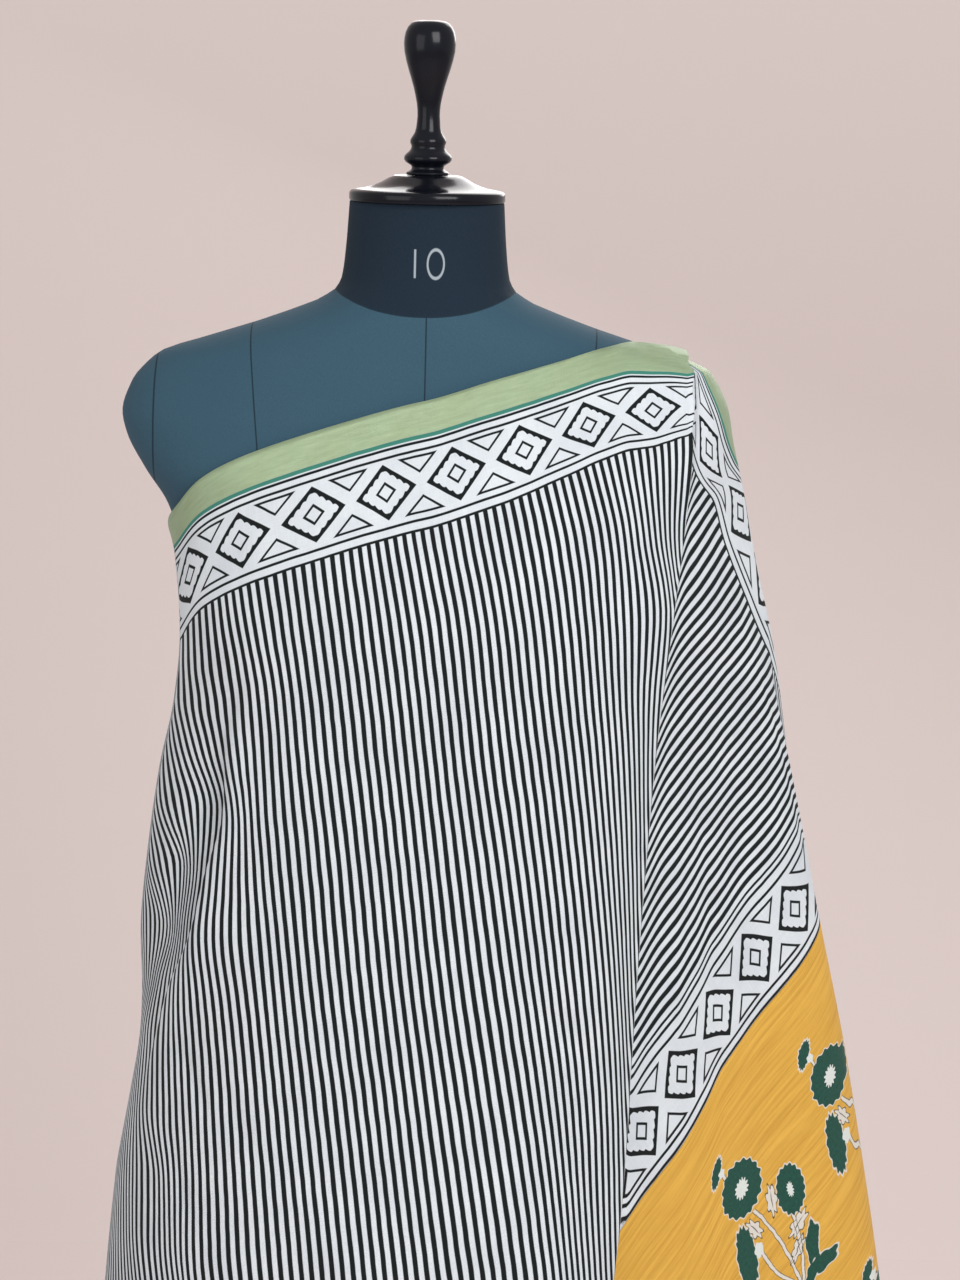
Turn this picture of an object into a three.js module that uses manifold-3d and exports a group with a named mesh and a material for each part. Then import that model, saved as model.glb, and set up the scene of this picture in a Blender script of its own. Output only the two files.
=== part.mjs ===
// Draped saree on a limbless dress form with a turned knob, a pole and a round base.
// Millimetres, +Z up. The form faces -Y, its own left side is +X.
// The origin is on the pole's axis, on the floor under the base.
import * as THREE from 'three';
import { mergeVertices } from 'three/addons/utils/BufferGeometryUtils.js';
import Module from 'manifold-3d';

const wasm = await Module();
wasm.setup();

// Driving dimensions
const clothThickness = 2;
const seatGap = 0.3;
const neckTop = 1545;
const torsoBottom = 784;
const armSeamX = 183;
const baseRadius = 170;
const baseEdgeHeight = 12;
const baseHubHeight = 40;
const poleRadius = 16;
const capRadius = 53.5;
const turnedSides = 24;
const seamAngle = -125;
const seamHalf = 0.1;
const wrapEndAngle = -300;
const headingRun = 488;
const pallaEndRun = 990;
const grainAngle = 51;
const rollDepth = 15;
const headingGap = 0.7;
const shoulderTop = 1434;
const skirtPleats = 7;

// Round the form: half widths in X and reach to the front and back at each height
const formSections = [
  { z: torsoBottom, half: 160, front: 104, back: 113, squareness: 2.2 },
  { z: 792, half: 169, front: 112, back: 121, squareness: 2.2 },
  { z: 830, half: 172, front: 114, back: 124, squareness: 2.2 },
  { z: 900, half: 160, front: 106, back: 112, squareness: 2.2 },
  { z: 980, half: 134, front: 94, back: 90, squareness: 2.1 },
  { z: 1040, half: 121, front: 86, back: 78, squareness: 2.1 },
  { z: 1100, half: 126, front: 90, back: 76, squareness: 2.2 },
  { z: 1150, half: 135, front: 104, back: 79, squareness: 2.3 },
  { z: 1200, half: 145, front: 122, back: 86, squareness: 2.4 },
  { z: 1245, half: 152, front: 128, back: 94, squareness: 2.5 },
  { z: 1300, half: 164, front: 118, back: 100, squareness: 2.4 },
  { z: 1336, half: 176, front: 106, back: 100, squareness: 2.3 },
  { z: 1360, half: 192, front: 97, back: 99, squareness: 2.3 },
  { z: 1384, half: 205, front: 87, back: 96, squareness: 2.2 },
  { z: 1398, half: 208, front: 82, back: 94, squareness: 2.2 },
  { z: 1420, half: 201, front: 74, back: 89, squareness: 2.2 },
  { z: 1430, half: 193, front: 71, back: 86, squareness: 2.1 },
  { z: 1440, half: 181, front: 68, back: 83, squareness: 2.1 },
  { z: 1450, half: 151, front: 66, back: 79, squareness: 2.1 },
  { z: 1460, half: 120, front: 64, back: 75, squareness: 2.1 },
  { z: 1470, half: 92, front: 62, back: 71, squareness: 2 },
  { z: 1480, half: 69, front: 59, back: 67, squareness: 2 },
  { z: 1492, half: 58, front: 54, back: 63, squareness: 2 },
  { z: 1515, half: 55, front: 50, back: 60, squareness: 2 },
  { z: neckTop, half: 53, front: 48, back: 58, squareness: 2 },
];

// The inner wrap that is tucked at the waist and pleated in front
const skirtSections = [
  { z: 12, half: 206, front: 184, back: 184, squareness: 2.2 },
  { z: 170, half: 200, front: 172, back: 176, squareness: 2.2 },
  { z: 400, half: 190, front: 154, back: 162, squareness: 2.2 },
  { z: 600, half: 184, front: 140, back: 148, squareness: 2.2 },
  { z: 768, half: 179, front: 126, back: 134, squareness: 2.2 },
  { z: 830, half: 176.5, front: 119, back: 129, squareness: 2.2 },
  { z: 900, half: 164, front: 110, back: 116, squareness: 2.2 },
  { z: 980, half: 137, front: 97, back: 93, squareness: 2.1 },
  { z: 1046, half: 123.7, front: 88.9, back: 80.5, squareness: 2.1 },
];

// The outer cloth: left, front and back of the drape, and the nearer right side of the wrap
const drapeSections = [
  { z: 20, left: 250, right: 244, front: 216, back: 212, wrapRight: 215, wrapFront: 196, squareness: 2.3 },
  { z: 170, left: 246, right: 240, front: 208, back: 202, wrapRight: 209, wrapFront: 184, squareness: 2.3 },
  { z: 400, left: 236, right: 232, front: 192, back: 184, wrapRight: 198, wrapFront: 166, squareness: 2.3 },
  { z: 600, left: 226, right: 226, front: 178, back: 166, wrapRight: 191, wrapFront: 150, squareness: 2.3 },
  { z: 768, left: 217, right: 222, front: 166, back: 150, wrapRight: 186, wrapFront: 135, squareness: 2.3 },
  { z: 850, left: 210, right: 220, front: 162, back: 144, wrapRight: 183, wrapFront: 128, squareness: 2.3 },
  { z: 950, left: 198, right: 218, front: 153, back: 130, wrapRight: 160, wrapFront: 110, squareness: 2.3 },
  { z: 1040, left: 193, right: 216, front: 146, back: 115, wrapRight: 138, wrapFront: 100, squareness: 2.4 },
  { z: 1100, left: 187, right: 215, front: 140, back: 106, wrapRight: 140, wrapFront: 104, squareness: 2.4 },
  { z: 1150, left: 180, right: 214, front: 136, back: 99, wrapRight: 146, wrapFront: 110, squareness: 2.4 },
  { z: 1200, left: 170, right: 213, front: 133, back: 95, wrapRight: 152, wrapFront: 126, squareness: 2.4 },
  { z: 1245, left: 166, right: 212, front: 131, back: 98, wrapRight: 158, wrapFront: 130, squareness: 2.5 },
  { z: 1300, left: 170, right: 214, front: 122.5, back: 103, wrapRight: 168, wrapFront: 121, squareness: 2.4 },
  { z: 1330, left: 179, right: 215, front: 112, back: 103, wrapRight: 178, wrapFront: 112, squareness: 2.3 },
  { z: 1360, left: 196, right: 216, front: 101, back: 102, wrapRight: 196, wrapFront: 101, squareness: 2.3 },
  { z: 1388, left: 211, right: 218, front: 90, back: 99, wrapRight: 211, wrapFront: 90, squareness: 2.2 },
  { z: 1410, left: 209, right: 214, front: 82.5, back: 96, wrapRight: 209, wrapFront: 82, squareness: 2.2 },
  { z: 1430, left: 197, right: 205, front: 76.5, back: 91, wrapRight: 197, wrapFront: 76, squareness: 2.1 },
  { z: 1441, left: 184, right: 195, front: 73, back: 88, wrapRight: 184, wrapFront: 73, squareness: 2.1 },
  { z: 1453, left: 148, right: 168, front: 70, back: 84, wrapRight: 148, wrapFront: 70, squareness: 2.1 },
  { z: 1464, left: 118, right: 130, front: 68, back: 80, wrapRight: 118, wrapFront: 68, squareness: 2.1 },
];

// Upper edge and hem of the drape, by angle: 0 is the front, -90 the form's right side
const drapeEdges = [
  { angle: -300, top: 1084, hem: 50 },
  { angle: -270, top: 1116, hem: 30 },
  { angle: -225, top: 1150, hem: 24 },
  { angle: -180, top: 1176, hem: 30 },
  { angle: -150, top: 1208, hem: 62 },
  { angle: -125, top: 1252, hem: 112 },
  { angle: -108, top: 1281, hem: 146 },
  { angle: -90, top: 1308, hem: 172 },
  { angle: -75, top: 1327, hem: 190 },
  { angle: -60, top: 1342, hem: 206 },
  { angle: -45, top: 1362, hem: 220 },
  { angle: -30, top: 1380, hem: 233 },
  { angle: -15, top: 1398, hem: 244 },
  { angle: 0, top: 1416, hem: 254 },
  { angle: 15, top: 1433, hem: 264 },
  { angle: 30, top: 1445, hem: 276 },
  { angle: 45, top: 1452, hem: 288 },
  { angle: 60, top: 1455, hem: 300 },
  { angle: 75, top: 1452, hem: 312 },
  { angle: 90, top: 1442, hem: 324 },
];

// Right edge of the front panel, which rolls back over the fall, and how far it rolls
const valleyLine = [
  { z: 160, x: 130, roll: 1 },
  { z: 400, x: 136, roll: 1 },
  { z: 768, x: 140, roll: 1 },
  { z: 938, x: 147, roll: 1 },
  { z: 1037, x: 151, roll: 1 },
  { z: 1149, x: 157, roll: 1 },
  { z: 1260, x: 168, roll: 0.85 },
  { z: 1340, x: 178, roll: 0.5 },
  { z: 1372, x: 182, roll: 0.3 },
  { z: 1410, x: 184, roll: 0.15 },
  { z: 1441, x: 184, roll: 0.08 },
  { z: 1456, x: 170, roll: 0.05 },
];

// Soft trough where the front of the drape laps its left side
const sideFold = [
  { z: 760, angle: -96, depth: 0 },
  { z: 900, angle: -82, depth: 4 },
  { z: 980, angle: -66, depth: 8 },
  { z: 1050, angle: -54, depth: 9 },
  { z: 1120, angle: -48, depth: 8 },
  { z: 1190, angle: -43, depth: 5 },
  { z: 1250, angle: -40, depth: 0 },
];

// The fall over the form's left arm: its outer side, back and border edge at each height,
// how far it bows out between the front panel and the side, and the depth of its flutes
const fallSections = [
  { z: 90, sideX: 398, sideY: 108, backX: 345, backY: 226, edgeX: 50, edgeY: 236, bow: 4, flute: 17 },
  { z: 250, sideX: 396, sideY: 106, backX: 342, backY: 224, edgeX: 54, edgeY: 232, bow: 4, flute: 17 },
  { z: 400, sideX: 388, sideY: 104, backX: 334, backY: 220, edgeX: 58, edgeY: 224, bow: 4, flute: 17 },
  { z: 600, sideX: 370, sideY: 101, backX: 318, backY: 208, edgeX: 64, edgeY: 206, bow: 4, flute: 16 },
  { z: 764, sideX: 345, sideY: 96, backX: 304, backY: 198, edgeX: 72, edgeY: 192, bow: 4, flute: 14 },
  { z: 836, sideX: 332, sideY: 92, backX: 296, backY: 192, edgeX: 78, edgeY: 184, bow: 4, flute: 13 },
  { z: 925, sideX: 315, sideY: 86, backX: 284, backY: 184, edgeX: 96, edgeY: 172, bow: 5, flute: 11 },
  { z: 1025, sideX: 293, sideY: 78, backX: 270, backY: 170, edgeX: 118, edgeY: 158, bow: 5, flute: 8 },
  { z: 1104, sideX: 277, sideY: 70, backX: 258, backY: 152, edgeX: 138, edgeY: 144, bow: 5, flute: 5 },
  { z: 1187, sideX: 260, sideY: 60, backX: 246, backY: 126, edgeX: 162, edgeY: 128, bow: 6, flute: 3 },
  { z: 1256, sideX: 245, sideY: 50, backX: 238, backY: 96, edgeX: 192, edgeY: 112, bow: 7, flute: 1 },
  { z: 1313, sideX: 232, sideY: 38, backX: 230, backY: 66, edgeX: 212, edgeY: 86, bow: 8, flute: 0 },
  { z: 1350, sideX: 224, sideY: 27, backX: 223, backY: 46, edgeX: 217, edgeY: 62, bow: 9, flute: 0 },
  { z: 1386, sideX: 215, sideY: 12, backX: 212, backY: 24, edgeX: 204.6, edgeY: 38, bow: 11, flute: 0 },
  { z: 1406, sideX: 211, sideY: 6, backX: 208.5, backY: 15, edgeX: 203.6, edgeY: 27, bow: 11, flute: 0 },
  { z: 1430, sideX: 199, sideY: 0, backX: 197, backY: 8, edgeX: 192.6, edgeY: 18, bow: 8, flute: 0 },
  { z: 1436, sideX: 194, sideY: -2, backX: 191, backY: 6, edgeX: 186, edgeY: 14, bow: 6, flute: 0 },
];

// Small sums used by every surface
const radians = (degrees) => degrees * Math.PI / 180;
const mix = (a, b, t) => a + (b - a) * t;

function ease(from, to, value) {
  const t = Math.min(1, Math.max(0, (value - from) / (to - from)));
  return t * t * (3 - 2 * t);
}

// A smooth curve through one column of a table that doesn't swing past its rows
function column(rows, by, key) {
  const knots = rows.map((row) => row[by]);
  const values = rows.map((row) => row[key]);
  const last = knots.length - 1;
  const steps = knots.slice(0, last).map((knot, i) => (values[i + 1] - values[i]) / (knots[i + 1] - knot));
  const slopes = values.map((_, i) => {
    if (i === 0) return steps[0];
    if (i === last) return steps[last - 1];
    if (steps[i - 1] * steps[i] <= 0) return 0;
    return 2 * steps[i - 1] * steps[i] / (steps[i - 1] + steps[i]);
  });
  return (at) => {
    let i = 0;
    while (i < last - 1 && at > knots[i + 1]) i += 1;
    const span = knots[i + 1] - knots[i];
    const t = Math.min(1, Math.max(0, (at - knots[i]) / span));
    const a = values[i] + slopes[i] * span * t * (1 - t) * (1 - t) - slopes[i + 1] * span * t * t * (1 - t);
    return a + (values[i + 1] - values[i]) * t * t * (3 - 2 * t);
  };
}

function columns(rows, by) {
  const names = Object.keys(rows[0]).filter((name) => name !== by);
  const curves = Object.fromEntries(names.map((name) => [name, column(rows, by, name)]));
  return (at) => Object.fromEntries(names.map((name) => [name, curves[name](at)]));
}

// A point on a squared oval; angle 0 looks to the front (-Y) and 90 to +X
function ovalPoint(oval, angle, z) {
  const sine = Math.sin(radians(angle));
  const cosine = Math.cos(radians(angle));
  const power = 2 / oval.squareness;
  const side = sine < 0 ? oval.left : oval.right;
  const depth = cosine > 0 ? -oval.front : oval.back;
  const x = Math.sign(sine) * side * Math.abs(sine) ** power;
  const y = depth * Math.abs(cosine) ** power;
  return new THREE.Vector3(x, y, z);
}

const formAt = columns(formSections, 'z');
const skirtAt = columns(skirtSections, 'z');
const drapeAt = columns(drapeSections, 'z');
const drapeEdgeAt = columns(drapeEdges, 'angle');
const valleyAt = columns(valleyLine, 'z');
const sideFoldAt = columns(sideFold, 'z');
const fallAt = columns(fallSections, 'z');

function geometryFrom(positions, faces) {
  const geometry = new THREE.BufferGeometry();
  geometry.setAttribute('position', new THREE.Float32BufferAttribute(positions.flatMap((p) => p.toArray()), 3));
  geometry.setIndex(faces);
  geometry.computeVertexNormals();
  return geometry;
}

// Closed cloth wall round a grid of points, half its thickness to each side.
// Rows run down and columns run so that row x column faces outwards.
function clothWall(grid, isTube = false) {
  const rowCount = grid.length;
  const columnCount = grid[0].length;
  const at = (row, col) => {
    const r = Math.min(rowCount - 1, Math.max(0, row));
    const c = isTube ? (col + columnCount) % columnCount : Math.min(columnCount - 1, Math.max(0, col));
    return grid[r][c];
  };
  const outer = [];
  const inner = [];
  for (let row = 0; row < rowCount; row += 1) {
    for (let col = 0; col < columnCount; col += 1) {
      const down = at(row + 1, col).clone().sub(at(row - 1, col));
      const along = at(row, col + 1).clone().sub(at(row, col - 1));
      const normal = down.cross(along).normalize().multiplyScalar(clothThickness / 2);
      outer.push(grid[row][col].clone().add(normal));
      inner.push(grid[row][col].clone().sub(normal));
    }
  }
  const size = rowCount * columnCount;
  const faces = [];
  const quad = (a, b, c, d) => faces.push(a, b, c, a, c, d);
  const spans = isTube ? columnCount : columnCount - 1;
  for (let col = 0; col < spans; col += 1) {
    const next = (col + 1) % columnCount;
    for (let row = 0; row < rowCount - 1; row += 1) {
      const a = row * columnCount + col;
      const b = (row + 1) * columnCount + col;
      const c = (row + 1) * columnCount + next;
      const d = row * columnCount + next;
      quad(a, b, c, d);
      quad(size + a, size + d, size + c, size + b);
    }
    const bottom = (rowCount - 1) * columnCount;
    quad(col, next, size + next, size + col);
    quad(bottom + next, bottom + col, size + bottom + col, size + bottom + next);
  }
  if (!isTube) {
    for (let row = 0; row < rowCount - 1; row += 1) {
      const start = row * columnCount;
      const below = start + columnCount;
      const end = start + columnCount - 1;
      const endBelow = below + columnCount - 1;
      quad(start, size + start, size + below, below);
      quad(end, endBelow, size + endBelow, size + end);
    }
  }
  return geometryFrom([...outer, ...inner], faces);
}

// Solid through closed rings from bottom to top, with a flat cap at each end
function ringSolid(rings) {
  const sides = rings[0].length;
  const points = rings.flat();
  const faces = [];
  for (let ring = 0; ring < rings.length - 1; ring += 1) {
    for (let side = 0; side < sides; side += 1) {
      const a = ring * sides + side;
      const b = ring * sides + (side + 1) % sides;
      faces.push(a, b, b + sides, a, b + sides, a + sides);
    }
  }
  const top = (rings.length - 1) * sides;
  for (let side = 1; side < sides - 1; side += 1) {
    faces.push(0, side + 1, side);
    faces.push(top, top + side, top + side + 1);
  }
  return geometryFrom(points, faces);
}

// Turned piece from a profile that starts and ends on the axis, given from the bottom up
function turned(profile) {
  const geometry = new THREE.LatheGeometry(profile.map(([r, z]) => new THREE.Vector2(r, z)), turnedSides);
  geometry.rotateX(Math.PI / 2);
  return geometry;
}

function toManifold(geometry) {
  const bare = geometry.clone();
  bare.deleteAttribute('normal');
  bare.deleteAttribute('uv');
  const merged = mergeVertices(bare, 1e-4);
  const mesh = new wasm.Mesh({
    numProp: 3,
    vertProperties: new Float32Array(merged.attributes.position.array),
    triVerts: new Uint32Array(merged.index.array),
  });
  return new wasm.Manifold(mesh);
}

function fromManifold(solid) {
  const mesh = solid.getMesh();
  const geometry = new THREE.BufferGeometry();
  geometry.setAttribute('position', new THREE.BufferAttribute(new Float32Array(mesh.vertProperties), 3));
  geometry.setIndex(new THREE.BufferAttribute(new Uint32Array(mesh.triVerts), 1));
  geometry.computeVertexNormals();
  return geometry;
}

// The padded form: one body from hip to neck, cut at the two armhole seams
function formBodies() {
  const sides = 32;
  const heights = [784, 792, 830, 865, 900, 940, 980, 1010, 1040, 1070, 1100, 1125, 1150, 1175, 1200, 1222,
    1245, 1272, 1300, 1318, 1336, 1360, 1384, 1398, 1410, 1420, 1430, 1440, 1446, 1453, 1460, 1470, 1480, 1492,
    1515, neckTop];
  const rings = heights.map((z) => {
    const { half, ...rest } = formAt(z);
    const oval = { left: half, right: half, ...rest };
    return Array.from({ length: sides }, (_, i) => ovalPoint(oval, i * 360 / sides, z));
  });
  const body = toManifold(ringSolid(rings));
  const blockSize = 600;
  const slab = (from, to) => {
    const block = new THREE.BoxGeometry(to - from, blockSize, blockSize * 4);
    block.translate((from + to) / 2, 0, blockSize * 2);
    return toManifold(block);
  };
  return {
    torso: fromManifold(body.intersect(slab(-armSeamX, armSeamX))),
    rightCap: fromManifold(body.intersect(slab(-blockSize, -armSeamX - seatGap))),
    leftCap: fromManifold(body.intersect(slab(armSeamX + seatGap, blockSize))),
  };
}

// The inner wrap: a tube from waist to floor with pleats in the middle of the front
function skirtGrid() {
  const heights = [1046, 1005, 955, 895, 830, 720, 520, 270, 12];
  const pleatReach = 34;
  const pleatSteps = skirtPleats * 4;
  const plainSteps = 24;
  const pleatAngles = Array.from({ length: pleatSteps }, (_, i) => mix(-pleatReach, pleatReach, i / pleatSteps));
  const plainAngles = Array.from({ length: plainSteps }, (_, i) => mix(pleatReach, 360 - pleatReach, i / plainSteps));
  const angles = [...pleatAngles, ...plainAngles];
  return heights.map((z) => {
    const { half, ...rest } = skirtAt(z);
    const oval = { left: half, right: half, ...rest };
    const depth = mix(10, 1, ease(12, 1000, z));
    return angles.map((angle) => {
      const inPleats = 1 - ease(pleatReach - 6, pleatReach, Math.abs(angle));
      const wave = Math.cos(radians(180 * angle * skirtPleats / pleatReach));
      const point = ovalPoint(oval, angle, z);
      point.y -= depth * inPleats * (1 + wave) / 2;
      return point;
    });
  });
}

// Angle of the front panel's right edge at a height
function edgeAngle(z) {
  const oval = drapeAt(z);
  const share = Math.min(0.999, valleyAt(z).x / oval.right);
  return Math.asin(share ** (oval.squareness / 2)) * 180 / Math.PI;
}

// A point on the outer cloth: flutes grow towards the hem, and the side fold lies at the left
function drapePoint(angle, z) {
  const oval = drapeAt(z);
  const point = ovalPoint(oval, angle, z);
  const outward = new THREE.Vector3(point.x, point.y * 1.6, 0).normalize();
  const flute = 11 * (1 - ease(150, 950, z)) * (1 + Math.sin(radians(angle * 6.5 + 40))) / 2;
  const fold = sideFoldAt(z);
  const away = (angle - fold.angle) / (angle > fold.angle ? 6 : 14);
  const trough = z > 760 && z < 1250 ? fold.depth * Math.exp(-away * away) : 0;
  return point.addScaledVector(outward, flute - trough);
}

// Height of the drape's upper edge for one column, where the column's angle moves with height
function topLevel(angleAt) {
  let low = 1000;
  let high = 1458;
  for (let pass = 0; pass < 30; pass += 1) {
    const middle = (low + high) / 2;
    if (middle < drapeEdgeAt(angleAt(middle)).top) low = middle;
    else high = middle;
  }
  return low;
}

// Rows of the outer cloth and of the fall lie closer near the shoulder
const drapeRows = [0, 0.008, 0.02, 0.04, 0.07, 0.11, 0.16, 0.22, 0.3, 0.39, 0.5, 0.62, 0.75, 0.88, 1];
const fallRows = [0, 0.02, 0.05, 0.09, 0.14, 0.2, 0.27, 0.36, 0.47, 0.6, 0.73, 0.87, 1];
const endRows = [0, 0.12, 0.25, 0.38, 0.5, 0.63, 0.75, 0.88, 1];

// The front panel, from the seam at the form's right back to the rolled edge by the fall
function frontDrapeGrid() {
  const across = 32;
  const rollSteps = [
    { side: 2.5, back: 0.15 },
    { side: 3, back: 0.5 },
    { side: 0, back: 0.85 },
    { side: -7, back: 1 },
  ];
  const grid = [];
  for (const share of drapeRows) {
    const line = [];
    for (let col = 0; col <= across; col += 1) {
      const start = seamAngle + seamHalf;
      const angleAt = (z) => mix(start, edgeAngle(z), col / across);
      const top = topLevel(angleAt);
      const hem = drapeEdgeAt(angleAt(300)).hem;
      const z = mix(top, hem, share);
      line.push(drapePoint(angleAt(z), z));
    }
    const edge = line[across];
    const { roll } = valleyAt(edge.z);
    for (const step of rollSteps) {
      line.push(new THREE.Vector3(edge.x + step.side * roll, edge.y + step.back * roll * rollDepth, edge.z));
    }
    grid.push(line);
  }
  return grid;
}

// The outer wrap across the back, from the same seam round to its hidden end under the front panel
function backWrapGrid() {
  const across = 27;
  const grid = [];
  for (const share of drapeRows) {
    const line = [];
    for (let col = 0; col <= across; col += 1) {
      const angle = mix(wrapEndAngle, seamAngle - seamHalf, col / across);
      const edge = drapeEdgeAt(angle);
      const z = mix(edge.top, edge.hem, share);
      const oval = drapeAt(z);
      const near = { ...oval, right: oval.wrapRight, front: oval.wrapFront };
      const isRight = angle < -180;
      line.push(isRight ? ovalPoint(near, angle, z) : drapePoint(angle, z));
    }
    grid.push(line);
  }
  return grid;
}

// One level of the fall: hidden under the front panel, out to the side, round to the border edge
function fallCurve(z) {
  const row = fallAt(z);
  const { x: valleyX, roll } = valleyAt(z);
  const tuckedX = valleyX + mix(4, -24, ease(0.1, 0.7, roll));
  const tuckedShare = (tuckedX / drapeAt(z).right) ** (drapeAt(z).squareness / 2);
  const tucked = drapePoint(Math.asin(tuckedShare) * 180 / Math.PI, z);
  const behind = roll * (rollDepth + 4.5) + 3.5 * ease(0.1, 0.35, roll);
  const start = new THREE.Vector3(tuckedX, tucked.y + behind + roll * 3, z);
  const side = new THREE.Vector3(row.sideX, row.sideY, z);
  const chord = side.clone().sub(start);
  const outward = new THREE.Vector3(chord.y, -chord.x, 0).normalize();
  const level = [
    start,
    start.clone().addScaledVector(chord, 0.25).addScaledVector(outward, row.bow * 0.75),
    start.clone().addScaledVector(chord, 0.6).addScaledVector(outward, row.bow),
    side,
    new THREE.Vector3(row.backX, row.backY, z),
    new THREE.Vector3(mix(row.backX, row.edgeX, 0.5), mix(row.backY, row.edgeY, 0.5) + (row.backX - row.edgeX) * 0.06, z),
    new THREE.Vector3(row.edgeX, row.edgeY, z),
  ];
  return new THREE.CatmullRomCurve3(level, false, 'centripetal');
}

// A point on the fall: share 0 is the hidden edge and 1 the border edge; soft flutes at the back
function fallPoint(share, z) {
  const curve = fallCurve(z);
  const point = curve.getPointAt(share);
  const along = curve.getTangentAt(share);
  const outward = new THREE.Vector3(along.y, -along.x, 0).normalize();
  const fluting = ease(0.42, 0.6, share) * Math.sin(radians(360 * (share - 0.42) * 5));
  return point.addScaledVector(outward, fallAt(z).flute * fluting);
}

// Distance along the cloth from the shoulder: it grows outwards and downwards over the fall
function fallRun(share, z) {
  const outwards = fallCurve(z).getLength() * share * Math.cos(radians(grainAngle));
  const downwards = (1453 - z) * Math.sin(radians(grainAngle));
  return outwards + downwards;
}

// Height on one column of the fall where the run along the cloth reaches a given length
function levelOfRun(share, run) {
  let low = 90;
  let high = shoulderTop;
  for (let pass = 0; pass < 24; pass += 1) {
    const middle = (low + high) / 2;
    if (fallRun(share, middle) > run) low = middle;
    else high = middle;
  }
  return (low + high) / 2;
}

function fallGrid(topOf, bottomOf, rows) {
  const across = 30;
  const shares = Array.from({ length: across + 1 }, (_, col) => col / across);
  return rows.map((row) => shares.map((share) => fallPoint(share, mix(topOf(share), bottomOf(share), row))));
}

const headingLevel = (share) => levelOfRun(share, headingRun);
const endLevel = (share) => levelOfRun(share, pallaEndRun);

const { torso, leftCap, rightCap } = formBodies();
const capBottom = neckTop + seatGap;
const capTop = capBottom + 18;

const neckCap = turned([
  [0, capBottom], [52, capBottom], [capRadius, capBottom + 1.5], [capRadius, capBottom + 5.5],
  [52, capBottom + 7.5], [43, capBottom + 9], [35, capBottom + 11.5], [28, capBottom + 15], [22, capTop], [0, capTop],
]);

const knobFoot = capTop + seatGap;
const knob = turned([
  [0, knobFoot], [14.7, knobFoot], [14.7, knobFoot + 1.6], [11, knobFoot + 3.4], [11, knobFoot + 6],
  [15.4, knobFoot + 8.6], [16.4, knobFoot + 11], [15.4, knobFoot + 13.4], [11.6, knobFoot + 17],
  [11.4, knobFoot + 19], [12.3, knobFoot + 21.4], [12, knobFoot + 24], [9.4, knobFoot + 28], [7.9, knobFoot + 36],
  [7.7, knobFoot + 43], [9, knobFoot + 52], [12.4, knobFoot + 65], [16, knobFoot + 77], [17.7, knobFoot + 87],
  [17, knobFoot + 95], [14, knobFoot + 101], [10.5, knobFoot + 104], [0, knobFoot + 104],
]);

const pole = turned([
  [0, baseHubHeight + seatGap], [poleRadius, baseHubHeight + seatGap],
  [poleRadius, torsoBottom - seatGap], [0, torsoBottom - seatGap],
]);

const base = turned([
  [0, 0], [baseRadius - 3, 0], [baseRadius, 3], [baseRadius, baseEdgeHeight - 3], [baseRadius - 3, baseEdgeHeight],
  [70, 17], [34, 22], [26, 30], [24, baseHubHeight], [0, baseHubHeight],
]);

const jersey = { color: 0x24323d, roughness: 0.85, metalness: 0 };
const lacquer = { color: 0x0a0a0c, roughness: 0.15, metalness: 0 };
const blackMetal = { color: 0x17181b, roughness: 0.4, metalness: 0.8 };
const stripedCloth = { color: 0xb9bfc2, roughness: 0.8, metalness: 0 };
const mustardCloth = { color: 0xd9a93a, roughness: 0.75, metalness: 0 };

const pieces = [
  ['form_torso', torso, jersey],
  ['form_arm_cap_left', leftCap, jersey],
  ['form_arm_cap_right', rightCap, jersey],
  ['form_neck_cap', neckCap, lacquer],
  ['form_knob', knob, lacquer],
  ['stand_pole', pole, blackMetal],
  ['stand_base', base, blackMetal],
  ['saree_skirt', clothWall(skirtGrid(), true), stripedCloth],
  ['saree_front_drape', clothWall(frontDrapeGrid()), stripedCloth],
  ['saree_back_wrap', clothWall(backWrapGrid()), stripedCloth],
  ['saree_fall', clothWall(fallGrid(() => shoulderTop, (s) => headingLevel(s) + headingGap, fallRows)), stripedCloth],
  ['saree_palla_end', clothWall(fallGrid(headingLevel, endLevel, endRows)), mustardCloth],
];

const dressedForm = new THREE.Group();
for (const [name, geometry, finish] of pieces) {
  const mesh = new THREE.Mesh(geometry, new THREE.MeshStandardMaterial(finish));
  mesh.name = name;
  dressedForm.add(mesh);
}

export default dressedForm;
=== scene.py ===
import math

import bmesh
import bpy
import numpy as np
from mathutils import Matrix, Vector


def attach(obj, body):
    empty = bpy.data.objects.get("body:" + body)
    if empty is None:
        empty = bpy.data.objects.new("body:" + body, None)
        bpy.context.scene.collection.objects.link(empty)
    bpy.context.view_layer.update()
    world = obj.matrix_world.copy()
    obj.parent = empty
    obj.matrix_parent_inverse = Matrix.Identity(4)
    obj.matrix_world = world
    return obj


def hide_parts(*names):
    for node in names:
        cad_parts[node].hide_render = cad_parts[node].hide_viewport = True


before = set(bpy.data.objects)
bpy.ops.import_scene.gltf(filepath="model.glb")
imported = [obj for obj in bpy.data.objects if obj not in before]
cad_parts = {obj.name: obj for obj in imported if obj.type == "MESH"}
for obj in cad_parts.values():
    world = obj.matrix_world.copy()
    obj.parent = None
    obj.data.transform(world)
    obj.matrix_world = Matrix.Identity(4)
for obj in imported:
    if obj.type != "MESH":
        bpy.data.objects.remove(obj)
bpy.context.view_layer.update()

print("loaded the packed frame")

# The part faces -Y. Tables are in millimetres, as in the part's own source, and meshes in metres.
mm = 0.001


# small sums

def mix(a, b, t):
    return a + (b - a) * t


def ease(start, end, value):
    t = np.clip((value - start) / (end - start), 0, 1)
    return t * t * (3 - 2 * t)


def hump(value, centre, width):
    return np.exp(-((value - centre) / width) ** 2)


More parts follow.
